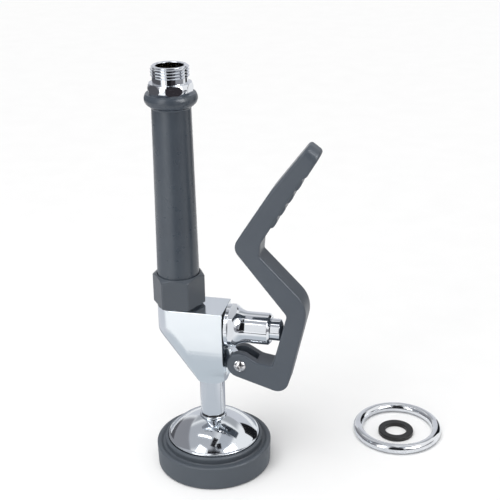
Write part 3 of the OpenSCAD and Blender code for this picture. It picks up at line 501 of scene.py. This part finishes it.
def make_lug():
    """The lug that the lever's fork straddles, flared where it leaves the body."""
    half, flare_r, lug_r = 5.5, 2.2, 4.9
    cut_z, cut_height = 45, 35
    top = [(2, 71.8), (9.4, 71.8, 1.5), (12.2, 69.6, 2)]
    hollow = [(11.2, 56.4), (10.3, 56.2), (9.3, 55.7), (8.4, 54.8), (7.8, 53.7), (7.4, 52.4), (2, 52.4)]
    side = rounded(top + arc((PIVOT_X, PIVOT_Z), lug_r, 100, -100, 20) + hollow, step=10)
    lug = plate("lug", [(u, -half, v) for u, v in side], [(0, 2 * half, 0)])
    above = [(0, 4.8), (0, -4.8)] + arc((10.9, -4.8), flare_r, 180, 90, 6) + [(26, -2.6), (26, 2.6)] \
        + arc((10.9, 4.8), flare_r, 270, 180, 6)
    combine(lug, plate("flare", [(u, v, cut_z) for u, v in above], [(0, 0, cut_height)]), "INTERSECT")
    return soften(lug, 0.3, angle=50)


def make_body():
    """The casting with its drawn-in foot, its pivot lug, the grip nut's seat and the waterway."""
    body = make_casting()
    over = BODY_TOP + 1
    # The front and back draw in towards the foot, and a bell rounds the foot into the outlet tube
    half = [
        (6.95, BODY_FOOT - 1), (7, BODY_FOOT), (7.1, 53), (7.4, 55), (7.88, 57), (9.03, 61), (9.53, 63),
        (9.92, 65), (10.2, 67), (10.4, 70), (10.55, 74), (12, over),
    ]
    start_x, length = -45, 80
    taper = [(start_x, y, z) for y, z in half] + [(start_x, -y, z) for y, z in reversed(half)]
    combine(body, plate("taper", taper, [(length, 0, 0)]), "INTERSECT")
    combine_turned(body, "bell", [
        (0, BODY_FOOT), (7.7, BODY_FOOT), (8.5, 51.9), (9.7, 52.7), (11.3, 54.2), (13.4, 56.3), (16, 58.6),
        (60, 62), (60, over), (0, over),
    ], "INTERSECT")
    combine(body, make_lug(), "UNION")
    seat_r, seat_top = 9.5, BODY_TOP + 1.2
    combine_turned(body, "seat", rounded([
        (0, BODY_TOP - 2), (seat_r, BODY_TOP - 2), (seat_r, seat_top, 0.25), (0, seat_top),
    ]), "UNION", at=ON_GRIP, steps=72)
    # The waterway: the bores for the outlet tube, the supply tube and the valve, then the pivot hole
    way_r = 4.2
    combine_turned(body, "outlet_bore", [
        (0, 50), (5.76, 50), (5.76, 63.2), (way_r, 63.2), (way_r, 82), (0, 82),
    ], steps=64)
    combine_turned(body, "supply_bore", [
        (0, 97), (6.56, 97), (6.56, 91), (way_r, 91), (way_r, 84), (0, 84),
    ], at=ON_GRIP, steps=64)
    combine_turned(body, "valve_bore", [
        (0, -20), (5.2, -20), (5.2, -3), (7, -3), (7, 1.2), (8.06, 1.2), (8.06, 10), (0, 10),
    ], axis="X", steps=64)
    combine_turned(body, "pivot_hole", rod(PIVOT_HOLE_R, -5, 5), axis="Y", steps=48)
    return fit(body, "valve", "chrome_body", cast_chrome, "valve_body")


# ---------- bonnet and plunger ----------


def make_bonnet():
    """The bonnet: a flange, a hexagon turned down through a hollow, and a barrel round the plunger."""
    thread_end, flange_x, hex_x, tip_x, shoulder_x, barrel_x = 1.3, 9.5, 11.4, 14.0, 18.0, 20.5
    mouth_x = high("bonnet", X)
    thread_r, flange_r, tip_r, barrel_r, flats, turn = 8, 11.6, 11.9, 8.45, 10.5, 12
    bore, stem_r = 5.86, 2.06
    drop, run = tip_r - barrel_r, barrel_x - tip_x
    hollow_r = (run ** 2 + drop ** 2) / (2 * drop)
    sweep = math.degrees(math.asin(run / hollow_r))
    hollow = arc((barrel_r + hollow_r, barrel_x), hollow_r, 180 + sweep, 180, 16)
    barrel = rounded([
        hollow[-1], (barrel_r, mouth_x - 1.1, 0.5), (barrel_r - 1.1, mouth_x, 0.15), (0, mouth_x),
    ])
    profile = [(0, hex_x), (tip_r - 0.7, hex_x), (tip_r, hex_x + 0.5)] + hollow + barrel[1:]
    piece = turned("bonnet_turning", profile, axis="X", closed=False, steps=120)
    corners = [(hex_x - 1, across, VALVE_Z + up) for up, across in hexagon(flats, turn)]
    combine(piece, plate("wrench", corners, [(mouth_x - hex_x + 2, 0, 0)]), "INTERSECT")
    joint_x = hex_x + 0.1
    combine_turned(piece, "flange", rounded([
        (0, thread_end), (thread_r, thread_end, 0.4), (thread_r, flange_x), (flange_r, flange_x, 0.35),
        (flange_r, joint_x, 0.3), (thread_r, joint_x), (0, joint_x),
    ]), "UNION", axis="X")
    combine_turned(piece, "guide", [
        (0, 0), (stem_r, 0), (stem_r, shoulder_x), (bore, shoulder_x), (bore, mouth_x - 0.25),
        (bore + 0.5, mouth_x + 0.25), (0, mouth_x + 0.25),
    ], axis="X")
    return fit(piece, "valve", "chrome_turned", turned_chrome, "bonnet")


def make_plunger():
    """The hollow plunger, with the slightly domed end that the lever pushes."""
    inner_x, side_x, tip_x = low("plunger", X), 38.2, high("plunger", X)
    outer, cup, floor_x, stem_r = 5.8, 4.6, 34.7, 2.0
    dome = [(r, tip_x - depth) for r, depth in reversed(cap(outer, tip_x - side_x, 10))]
    profile = [(0, side_x), (stem_r, side_x), (stem_r, floor_x), (cup, floor_x)] \
        + rounded([(cup, floor_x), (cup, inner_x, 0.15), (outer, inner_x, 0.3), (outer, side_x)])[1:-1] \
        + rounded([(outer, side_x - 3), (outer, side_x, 0.5), dome[2]])[1:-1] + dome[2:]
    piece = turned("plunger_turning", profile, axis="X", closed=False, steps=72)
    return fit(piece, "plunger", "chrome_turned", turned_chrome, "plunger")


def make_return_spring():
    """The return spring, one wound wire."""
    foot_x, end_x = low("return_spring", X), high("return_spring", X)
    wire, turns, travel = 0.45, 6, 5.2
    mean, length = high("return_spring", Y) - wire, end_x - foot_x
    piece = draw("return_spring_wire", [(u, 0, mean + v) for u, v in arc((0, 0), wire, 0, 324, 9)])
    wound(piece, "X", turns, (length - 2 * wire) / turns, 32, (foot_x + wire, 0, VALVE_Z))
    fit(piece, "valve", "spring_steel", screw_steel, "return_spring")
    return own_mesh(piece)


# ---------- lever ----------
LEVER_HALF = 7.0
PADDLE_LEAN, OUTER_LEAN = 37.3, 30.96


def leaning(lean):
    """The direction that leans from Z towards X by so many degrees."""
    return Vector((math.sin(math.radians(lean)), 0, math.cos(math.radians(lean))))


def round_nose(piece):
    """Slides the corners of the lever's tip back along the paddle, into a round nose."""
    nose_r, nose_length, tip = 5.0, 4, Vector((55.4, 0, 185)) * MM
    along, outer = leaning(PADDLE_LEAN), leaning(OUTER_LEAN)
    out = Vector((along.z, 0, -along.x))
    for depth in sorted({round(abs(v.co.y) / MM, 3) for v in bmesh.from_edit_mesh(piece.data).verts}):
        beyond = depth - (LEVER_HALF - nose_r)
        if beyond <= 0:
            continue
        back = nose_r - math.sqrt(max(nose_r ** 2 - beyond ** 2, 0))
        for direction, outer_side in ((along, False), (outer, True)):
            pick("VERT", lambda v: abs(abs(v.co.y) / MM - depth) < 0.002
                 and (v.co - tip).dot(along) > -nose_length * MM
                 and ((v.co - tip).dot(out) > 0) == outer_side)
            bpy.ops.transform.translate(value=direction * -back * MM)


def add_ridges(piece):
    """Finger ridges, copies of one rib down the paddle's outer side."""
    outer = leaning(OUTER_LEAN)
    down, out = -outer, Vector((outer.z, 0, -outer.x))
    start, first, pitch, count = Vector((57.99, 0, 183.0)), 22.2, 8, 4
    half = LEVER_HALF - 0.7
    rib = rounded([(-7.9, -0.6), (-4.2, 1.05, 3), (-0.9, 0.95, 1.6), (1, -0.6)])
    for i in range(count):
        crest = start + down * (first + pitch * i) - Vector((0, half, 0))
        ridge = plate("ridge", [crest + down * a + out * b for a, b in rib], [(0, 2 * half, 0)])
        combine(piece, soften(ridge, 0.35, angle=40, segments=2), "UNION")


def make_lever():
    """The moulded lever: an ear on the pivot, a hook round the plunger, and the paddle."""
    ear_r, edge_r = 7.1, 1.0
    ear = arc((PIVOT_X, PIVOT_Z), ear_r, 252.9, 60, 24)
    outline = ear + rounded([
        ear[-1], (27, 66.22, 8), (34.52, 65, 1.6), (42.3, 95.3, 3), (14.02, 131, 6.5), (34.15, 162.6, 60),
        (52.74, 187, 1.6), (58.93, 182.43, 2.2), (52.09, 171.03, 2.5), (50.09, 170.02, 0.8),
        (28.9, 134.5, 5), (28.3, 127.6, 1.5), (53.9, 101.2, 16), (41.62, 48.8, 6.5), ear[0],
    ], step=9)[1:-1]
    # The plate's layers are closer where the nose is rounded
    layers = [0, 1.6, 2.4, 3.2, 4, 4.8, 5.6, LEVER_HALF]
    places = [-y for y in reversed(layers)] + layers[1:]
    piece = plate("lever_moulding", [(u, -LEVER_HALF, v) for u, v in outline],
                  [(0, b - a, 0) for a, b in zip(places, places[1:])])
    bpy.ops.object.mode_set(mode="EDIT")
    side = LEVER_HALF * MM
    pick("EDGE", lambda e: all(abs(abs(v.co.y) - side) < 1e-6 for v in e.verts))
    bpy.ops.mesh.bevel(offset=edge_r * MM, segments=4, profile=0.5, affect="EDGES", clamp_overlap=False)
    round_nose(piece)
    bpy.ops.object.mode_set(mode="OBJECT")
    add_ridges(piece)
    fork_half, fork_x = 2.9, 26
    cut_z, cut_height = 45, 35
    fork = rounded([(8, -fork_half), (fork_x, -fork_half, 0.8), (fork_x, fork_half, 0.8), (8, fork_half)])
    combine(piece, plate("slot", [(u, v, cut_z) for u, v in fork], [(0, 0, cut_height)]))
    combine_turned(piece, "hole", rod(PIVOT_HOLE_R, -9, 9), axis="Y", steps=48)
    return fit(piece, "lever", "lever_plastic", lever_plastic, "lever")


def make_pivot_screw():
    """The pivot screw, with a crowned head and a cross recess that narrows towards its floor."""
    face, head_r, head_h, shank = 7.1, 3.45, 1.8, 2.0
    arm, arm_half, arm_r, depth, narrowing, recess_turn = 2.2, 0.55, 0.2, 1.9, 0.45, 8
    end, front = high("pivot_screw", Y), -face - head_h
    crown = [(r, front + drop) for r, drop in cap(head_r, head_h, 12)]
    rest = rounded([crown[-2], (head_r, -face, 0.12), (shank, -face), (shank, end, 0.4), (0, end)])
    piece = turned("pivot_screw_head", crown[:-1] + rest[1:], axis="Y", steps=72)
    outline = rounded([(-arm, -arm_half, arm_r), (arm, -arm_half, arm_r), (arm, arm_half, arm_r),
                       (-arm, arm_half, arm_r)])
    for turn in (recess_turn, recess_turn + 90):
        c, s = math.cos(math.radians(turn)), math.sin(math.radians(turn))
        bar = draw("arm", [(PIVOT_X + c * u - s * w, front - 0.5, PIVOT_Z + s * u + c * w)
                           for u, w in outline])
        bpy.ops.mesh.edge_face_add()
        bpy.ops.mesh.extrude_region_move(TRANSFORM_OT_translate={"value": Vector((0, depth, 0)) * MM})
        bpy.ops.transform.resize(value=(narrowing, 1, narrowing))
        combine(piece, close_up(bar))
    return fit(piece, "valve", "screw_steel", screw_steel, "pivot_screw")


def make_pivot_nut():
    """The nut on the pivot screw's far end."""
    face, end = low("pivot_nut", Y), high("pivot_nut", Y)
    flats, hole_r = 3.5, 2.05
    corners = hexagon(flats, 0)
    reach = corners[0][0]
    piece = plate("pivot_nut_turning", [(PIVOT_X + u, face, PIVOT_Z + v) for u, v in corners],
                  [(0, end - face, 0)])
    combine_turned(piece, "cone", [
        (0, face), (reach - 0.25, face), (reach + 0.1, face + 0.3), (reach + 0.1, end - 0.5),
        (flats - 0.2, end), (0, end),
    ], "INTERSECT", axis="Y", steps=72)
    combine_turned(piece, "hole", rod(hole_r, face - 1, end + 1), axis="Y", steps=48)
    soften(piece, 0.1, angle=30, segments=2)
    return fit(piece, "valve", "screw_steel", screw_steel, "pivot_nut")


# ---------- grip ----------
SUPPLY_BORE_R = 7.06


def make_grip_nut():
    """The plastic nut at the grip's foot, with sloped shoulders and a pocket for the sleeve's root."""
    foot, top, side_r = low("grip_nut", Z), 112.6, 14.5
    flats, turn, corner_r = 12.1, 7, 1.3
    root_r, root_z, mouth_r = 9.85, foot + 2.3, 11.3
    corners = rounded([(GRIP_X + u, v, corner_r) for u, v in hexagon(flats, turn)])
    piece = plate("grip_nut_moulding", [(u, v, foot) for u, v in corners], [(0, 0, top - foot)])
    combine_turned(piece, "slopes", [
        (0, foot - 1), (side_r, foot - 1), (side_r, top - 2.2), (11.7, top), (11.7, top + 1), (0, top + 1),
    ], "INTERSECT", at=ON_GRIP)
    soften(piece, 0.4, angle=24, merge=0.08)
    combine_turned(piece, "cavity", [
        (0, foot - 1), (SUPPLY_BORE_R, foot - 1), (SUPPLY_BORE_R, root_z), (root_r, root_z),
        (root_r, top - 1.2), (mouth_r, top - 1.2), (mouth_r, top + 1), (0, top + 1),
    ], at=ON_GRIP)
    return fit(piece, "valve", "nut_plastic", nut_plastic, "grip_nut", crease=28)


def make_grip_sleeve():
    """The tapered sleeve, in even rings, with a bead round its top."""
    foot, top = low("grip_sleeve", Z), high("grip_sleeve", Z)
    root, shoulder_z, low_r, top_r, rings = 9.8, 111.4, 11.0, 9.9, 16
    socket_r, socket_z = 8.55, top - 12.05
    ring_r, bead_r, bead_z, neck_r = 9.2, 4.1, top - 2.5, 1.1
    below = math.degrees(math.acos((top_r - ring_r) / bead_r))
    above = math.degrees(math.asin((top - bead_z) / bead_r))
    bead = arc((ring_r, bead_z), bead_r, -below, above, 24)
    inner = [(socket_r, top), (socket_r, socket_z), (SUPPLY_BORE_R, socket_z), (SUPPLY_BORE_R, foot)]
    shoulder = Vector((low_r, shoulder_z))
    side = [shoulder + (Vector(bead[0]) - shoulder) * i / rings for i in range(1, rings)]
    start = rounded([
        inner[-1], (root, foot, 0.3), (root, shoulder_z), (low_r, shoulder_z, 0.5), side[0],
    ])[1:-1]
    piece = turned("grip_sleeve_moulding", start + side + bead + inner, at=ON_GRIP)
    bpy.ops.object.mode_set(mode="EDIT")
    neck_z = bead[0][1] * MM
    pick("EDGE", lambda e: all(abs(v.co.z - neck_z) < 1e-6 for v in e.verts))
    bpy.ops.mesh.bevel(offset=neck_r * MM, segments=5, profile=0.5, affect="EDGES")
    bpy.ops.object.mode_set(mode="OBJECT")
    return fit(piece, "valve", "grip_plastic", grip_plastic, "grip_sleeve")


def make_inlet_nipple():
    """The threaded inlet on a crowned collar with six flats. Its thread is one tooth wound up the neck."""
    foot, top = low("inlet_nipple", Z), high("inlet_nipple", Z)
    mouth, neck, collar, crest, root = 7.0, 8.9, 11.25, 9.525, 8.75
    crown_r, flats, turn = 5.52, 10.5, 26
    pitch, turns = 1.45, 6
    ledge, thread = foot + 5.2, foot + 8.2
    crown = arc((collar - crown_r, foot + 2.6), crown_r, -28, 28, 12)
    piece = turned("inlet_turning", [(mouth, foot)] + crown + rounded([
        crown[-1], (neck, ledge, 0.3), (neck, thread, 0.1), (root, thread), (root, top, 0.2),
        (mouth + 0.35, top, 0.1), (mouth, top - 0.35, 0.15), (mouth, foot),
    ])[1:-1], at=ON_GRIP)
    corners = [(GRIP_X + u, v, foot - 1) for u, v in hexagon(flats, turn)]
    combine(piece, plate("flats", corners, [(0, 0, top - foot + 2)]), "INTERSECT")
    buried, half_foot, half_tip = root - 0.4, 0.6, 0.14
    tooth = draw("tooth", [
        (buried, 0, -half_foot), (root, 0, -half_foot), (crest, 0, -half_tip), (crest, 0, half_tip),
        (root, 0, half_foot), (buried, 0, half_foot),
    ])
    wound(tooth, "Z", turns, pitch, 72, (GRIP_X, 0, thread - 1.2))
    combine_turned(tooth, "zone", [
        (0, thread), (crest - 0.25, thread), (crest + 0.3, thread + 0.5), (crest + 0.3, top - 0.9),
        (root - 0.1, top - 0.1), (0, top - 0.1),
    ], "INTERSECT", at=ON_GRIP)
    combine(piece, tooth, "UNION")
    return fit(piece, "valve", "chrome_turned", turned_chrome, "inlet_nipple")


# ---------- loose pieces ----------


def make_ring():
    """The wire ring that holds the lever down, lying loose."""
    at = middle("hold_open_ring", X), middle("hold_open_ring", Y)
    wire = high("hold_open_ring", Z) / 2
    mean = high("hold_open_ring", X) - at[0] - wire
    section = [(mean + u, wire + v) for u, v in arc((0, 0), wire, 0, 345, 23)]
    piece = turned("hold_open_wire_ring", section, at=at, steps=144)
    return fit(piece, "hold_open_ring", "chrome_ring", wire_chrome, "hold_open_ring")


def make_washer():
    """The hose washer, lying loose inside the ring."""
    at = middle("hose_washer", X), middle("hose_washer", Y)
    bore, outer, thick = 6.25, high("hose_washer", X) - at[0], high("hose_washer", Z)
    section = rounded([(bore, 0, 0.35), (outer, 0, 0.45), (outer, thick, 0.45), (bore, thick, 0.35)])
    piece = turned("hose_washer_moulding", section, at=at)
    return fit(piece, "hose_washer", "washer_rubber", washer_rubber, "hose_washer")


for make in (
    make_bumper, make_dome, make_collar, make_outlet_tube, make_body, make_bonnet, make_plunger,
    make_return_spring, make_lever, make_pivot_screw, make_pivot_nut, make_grip_nut, make_grip_sleeve,
    make_inlet_nipple, make_ring, make_washer,
):
    make()

# ---------- studio, in metres ----------
VALVE_MIDDLE = Vector((0.02, 0, 0.1))


def make_floor():
    """A wide sheet of pale matt paper."""
    bpy.ops.object.select_all(action="DESELECT")
    bpy.ops.mesh.primitive_plane_add(size=12)
    floor = bpy.context.object
    floor.name = "floor"
    paper = bpy.data.materials.new("pale_paper")
    paper.use_nodes = True
    shader = paper.node_tree.nodes["Principled BSDF"]
    shader.inputs["Roughness"].default_value = 0.9
    shader.inputs["Specular IOR Level"].default_value = 0.0
    fibre = between(paper, grain(paper, 30, 3), 0, 1)
    colour = mixed(paper, fibre, (0.93, 0.93, 0.93), (0.945, 0.945, 0.945))
    paper.node_tree.links.new(colour, shader.inputs["Base Color"])
    floor.data.materials.append(paper)


def make_world():
    """A white surround that lights at half its strength, but shows and mirrors at full strength."""
    world = bpy.data.worlds.new("studio")
    bpy.context.scene.world = world
    world.use_nodes = True
    world.node_tree.nodes.clear()
    ray = step(world, "ShaderNodeLightPath").outputs
    shown = ray["Is Camera Ray"]
    for kind in ("Is Glossy Ray", "Is Transmission Ray"):
        either = step(world, "ShaderNodeMath", {0: shown, 1: ray[kind]}, operation="MAXIMUM")
        shown = either.outputs["Value"]
    lit, bright = (step(world, "ShaderNodeBackground", {"Color": (1, 1, 1, 1), "Strength": strength})
                   for strength in (0.5, 1.0))
    both = step(world, "ShaderNodeMixShader",
                {0: shown, 1: lit.outputs["Background"], 2: bright.outputs["Background"]})
    step(world, "ShaderNodeOutputWorld", {"Surface": both.outputs["Shader"]})


def hang(name, lamp, place):
    """Puts a lamp at its place and points it at the middle of the valve."""
    holder = bpy.data.objects.new(name, lamp)
    bpy.context.scene.collection.objects.link(holder)
    holder.location = place
    holder.rotation_euler = (VALVE_MIDDLE - Vector(place)).to_track_quat("-Z", "Y").to_euler()
    return holder


def make_lamp(name, place, size, power):
    """A soft lamp, (width, height) across."""
    lamp = bpy.data.lights.new(name, "AREA")
    lamp.shape, lamp.energy = "RECTANGLE", power
    lamp.size, lamp.size_y = size
    hang(name, lamp, place)


def make_sky_lamp(name, place, spread, power):
    """An even lamp from far away, for the light on the floor; polished metal doesn't show it."""
    lamp = bpy.data.lights.new(name, "SUN")
    lamp.angle, lamp.energy = math.radians(spread), power
    hang(name, lamp, place).visible_glossy = False


def make_card(name, centre, size, tilt, turn, tone, feather):
    """A plain card that only polished surfaces show, with edges that fade over a share of its width."""
    bpy.ops.object.select_all(action="DESELECT")
    bpy.ops.mesh.primitive_plane_add(
        size=1, location=centre, rotation=(math.radians(tilt), 0, math.radians(turn)))
    card = bpy.context.object
    card.name = name
    card.scale = (*size, 1)
    paint = bpy.data.materials.new(name)
    paint.use_nodes = True
    paint.node_tree.nodes.clear()
    place = step(paint, "ShaderNodeTexCoord").outputs["Object"]
    place = step(paint, "ShaderNodeSeparateXYZ", {"Vector": place}).outputs
    shares = []
    for axis in "XY":
        away = step(paint, "ShaderNodeMath", {0: place[axis]}, operation="ABSOLUTE").outputs["Value"]
        inputs = {"Value": away, "From Min": 0.5 - feather / 2, "From Max": 0.5, "To Min": 1, "To Max": 0}
        fade = step(paint, "ShaderNodeMapRange", inputs, interpolation_type="SMOOTHSTEP")
        shares.append(fade.outputs["Result"])
    share = step(paint, "ShaderNodeMath", dict(enumerate(shares)), operation="MULTIPLY").outputs["Value"]
    clear = step(paint, "ShaderNodeBsdfTransparent").outputs["BSDF"]
    glow = step(paint, "ShaderNodeEmission", {"Color": (*tone, 1)}).outputs["Emission"]
    both = step(paint, "ShaderNodeMixShader", {0: share, 1: clear, 2: glow}).outputs["Shader"]
    step(paint, "ShaderNodeOutputMaterial", {"Surface": both})
    card.data.materials.append(paint)
    card.visible_camera = card.visible_diffuse = card.visible_shadow = False


def stand_card(name, azimuth, distance, width, foot, top, tone, feather):
    """A card that stands round the valve at an azimuth and faces it."""
    around = math.radians(azimuth)
    centre = (distance * math.cos(around), distance * math.sin(around), (foot + top) / 2)
    make_card(name, centre, (width, top - foot), 90, azimuth + 90, tone, feather)


def make_camera():
    """The camera, turned to the right of the front, looking down and rolled a little."""
    place, turn, down, roll = (0.1359, -0.4830, 0.3386), 13.27, 22.99, -0.8
    lens = bpy.data.cameras.new("camera")
    lens.lens, lens.sensor_width = 76.11, 36
    camera = bpy.data.objects.new("camera", lens)
    bpy.context.scene.collection.objects.link(camera)
    aim = (Matrix.Rotation(math.radians(turn), 4, "Z") @ Matrix.Rotation(math.radians(90 - down), 4, "X")
           @ Matrix.Rotation(math.radians(roll), 4, "Z"))
    camera.matrix_world = Matrix.Translation(place) @ aim
    bpy.context.scene.camera = camera


BLACK, DARK, GRAY, PALE = (0.01, 0.01, 0.012), (0.30, 0.30, 0.32), (0.45, 0.46, 0.48), (0.70, 0.71, 0.75)

# Name, azimuth, distance, width, foot, top, tone, feather
STANDING_CARDS = (
    ("front_flag", -76, 0.60, 0.46, 0, 1.15, BLACK, 0.1),
    ("front_gray", -42, 0.60, 0.28, 0, 0.80, DARK, 0.3),
    ("left_wall", 180, 0.60, 1.5, 0, 0.64, DARK, 0.3),
    ("left_skirt", 180, 0.58, 1.5, 0, 0.15, (0.11, 0.11, 0.12), 0.3),
    ("front_skirt", -52, 0.57, 0.44, 0, 0.12, (0.04, 0.035, 0.04), 0.3),
    ("right_sill", -12, 0.50, 0.65, 0, 0.12, DARK, 0.3),
    ("right_flag", 50, 0.40, 0.17, 0, 0.27, BLACK, 0.1),
    ("right_back_card", 4, 0.58, 0.20, 0, 0.16, BLACK, 0.2),
    ("back_wall", 90, 0.90, 1.6, 0.1, 0.80, PALE, 0.2),
)

# Name, centre, size, tilt, turn, tone, feather. Cards on the floor lie at slightly different heights.
CARDS = (
    ("ceiling", (-0.40, -0.10, 0.70), (1.15, 1.00), 0, 0, (0.52, 0.53, 0.56), 0.35),
    ("right_ceiling", (0.32, -0.18, 0.70), (0.46, 0.75), 0, 0, (0.50, 0.52, 0.56), 0.4),
    ("back_ceiling", (-0.10, 0.80, 0.70), (1.4, 0.85), 0, 0, GRAY, 0.3),
    ("right_panel", (0.50, -0.26, 0.43), (0.35, 0.40), 60, 62, (8, 8, 8), 0.2),
    ("ceiling_strip", (-0.19, -0.125, 0.69), (0.40, 0.05), 0, -13, (3.5, 3.5, 3.5), 0.3),
    ("left_leg", (0.07, -0.26, 0.68), (0.13, 0.26), 0, -10, BLACK, 0.2),
    ("right_leg", (0.22, -0.33, 0.68), (0.14, 0.20), 0, 30, BLACK, 0.3),
    ("front_floor", (0.105, -0.43, 0.001), (0.27, 0.50), 0, 14, (0.03, 0.03, 0.04), 0.3),
    ("left_front_floor", (-0.38, -0.76, 0.0011), (0.34, 0.40), 0, 0, BLACK, 0.2),
    ("left_back_floor", (-0.50, 0.70, 0.001), (0.40, 0.40), 0, 0, (0.20, 0.20, 0.21), 0.2),
    # Painted shadow: a dark sheet on the floor just behind the valve, where its shadow falls, that only
    # polished surfaces show
    ("back_floor", (-0.02, 0.10, 0.0013), (0.26, 0.16), 0, 0, (0.40, 0.42, 0.46), 0.5),
    # Painted shadow: a darker sheet on the floor right under the valve, where its shadow falls, that only
    # polished surfaces show
    ("near_floor", (0, -0.05, 0.0012), (0.30, 0.22), 0, 0, (0.62, 0.66, 0.70), 0.7),
    ("right_floor", (0.33, -0.36, 0.001), (0.30, 0.40), 0, 0, DARK, 0.3),
    # Painted shadow: a slightly darker sheet on the floor beside the valve, for its shadow there, that only
    # polished surfaces show
    ("left_floor", (-0.20, 0.08, 0.001), (0.32, 0.40), 0, 0, PALE, 0.3),
    ("side_floor", (0.075, 0, 0.0014), (0.07, 0.008), 0, 0, GRAY, 0.2),
)

make_floor()
make_world()
make_lamp("key", (-0.227, -0.446, 0.31), (0.2, 0.58), 0.75)
make_sky_lamp("sky", (-0.15, -0.35, 1.6), 50, 1.75)
for card in STANDING_CARDS:
    stand_card(*card)
for card in CARDS:
    make_card(*card)
make_camera()
bpy.context.scene.view_settings.view_transform = "Standard"
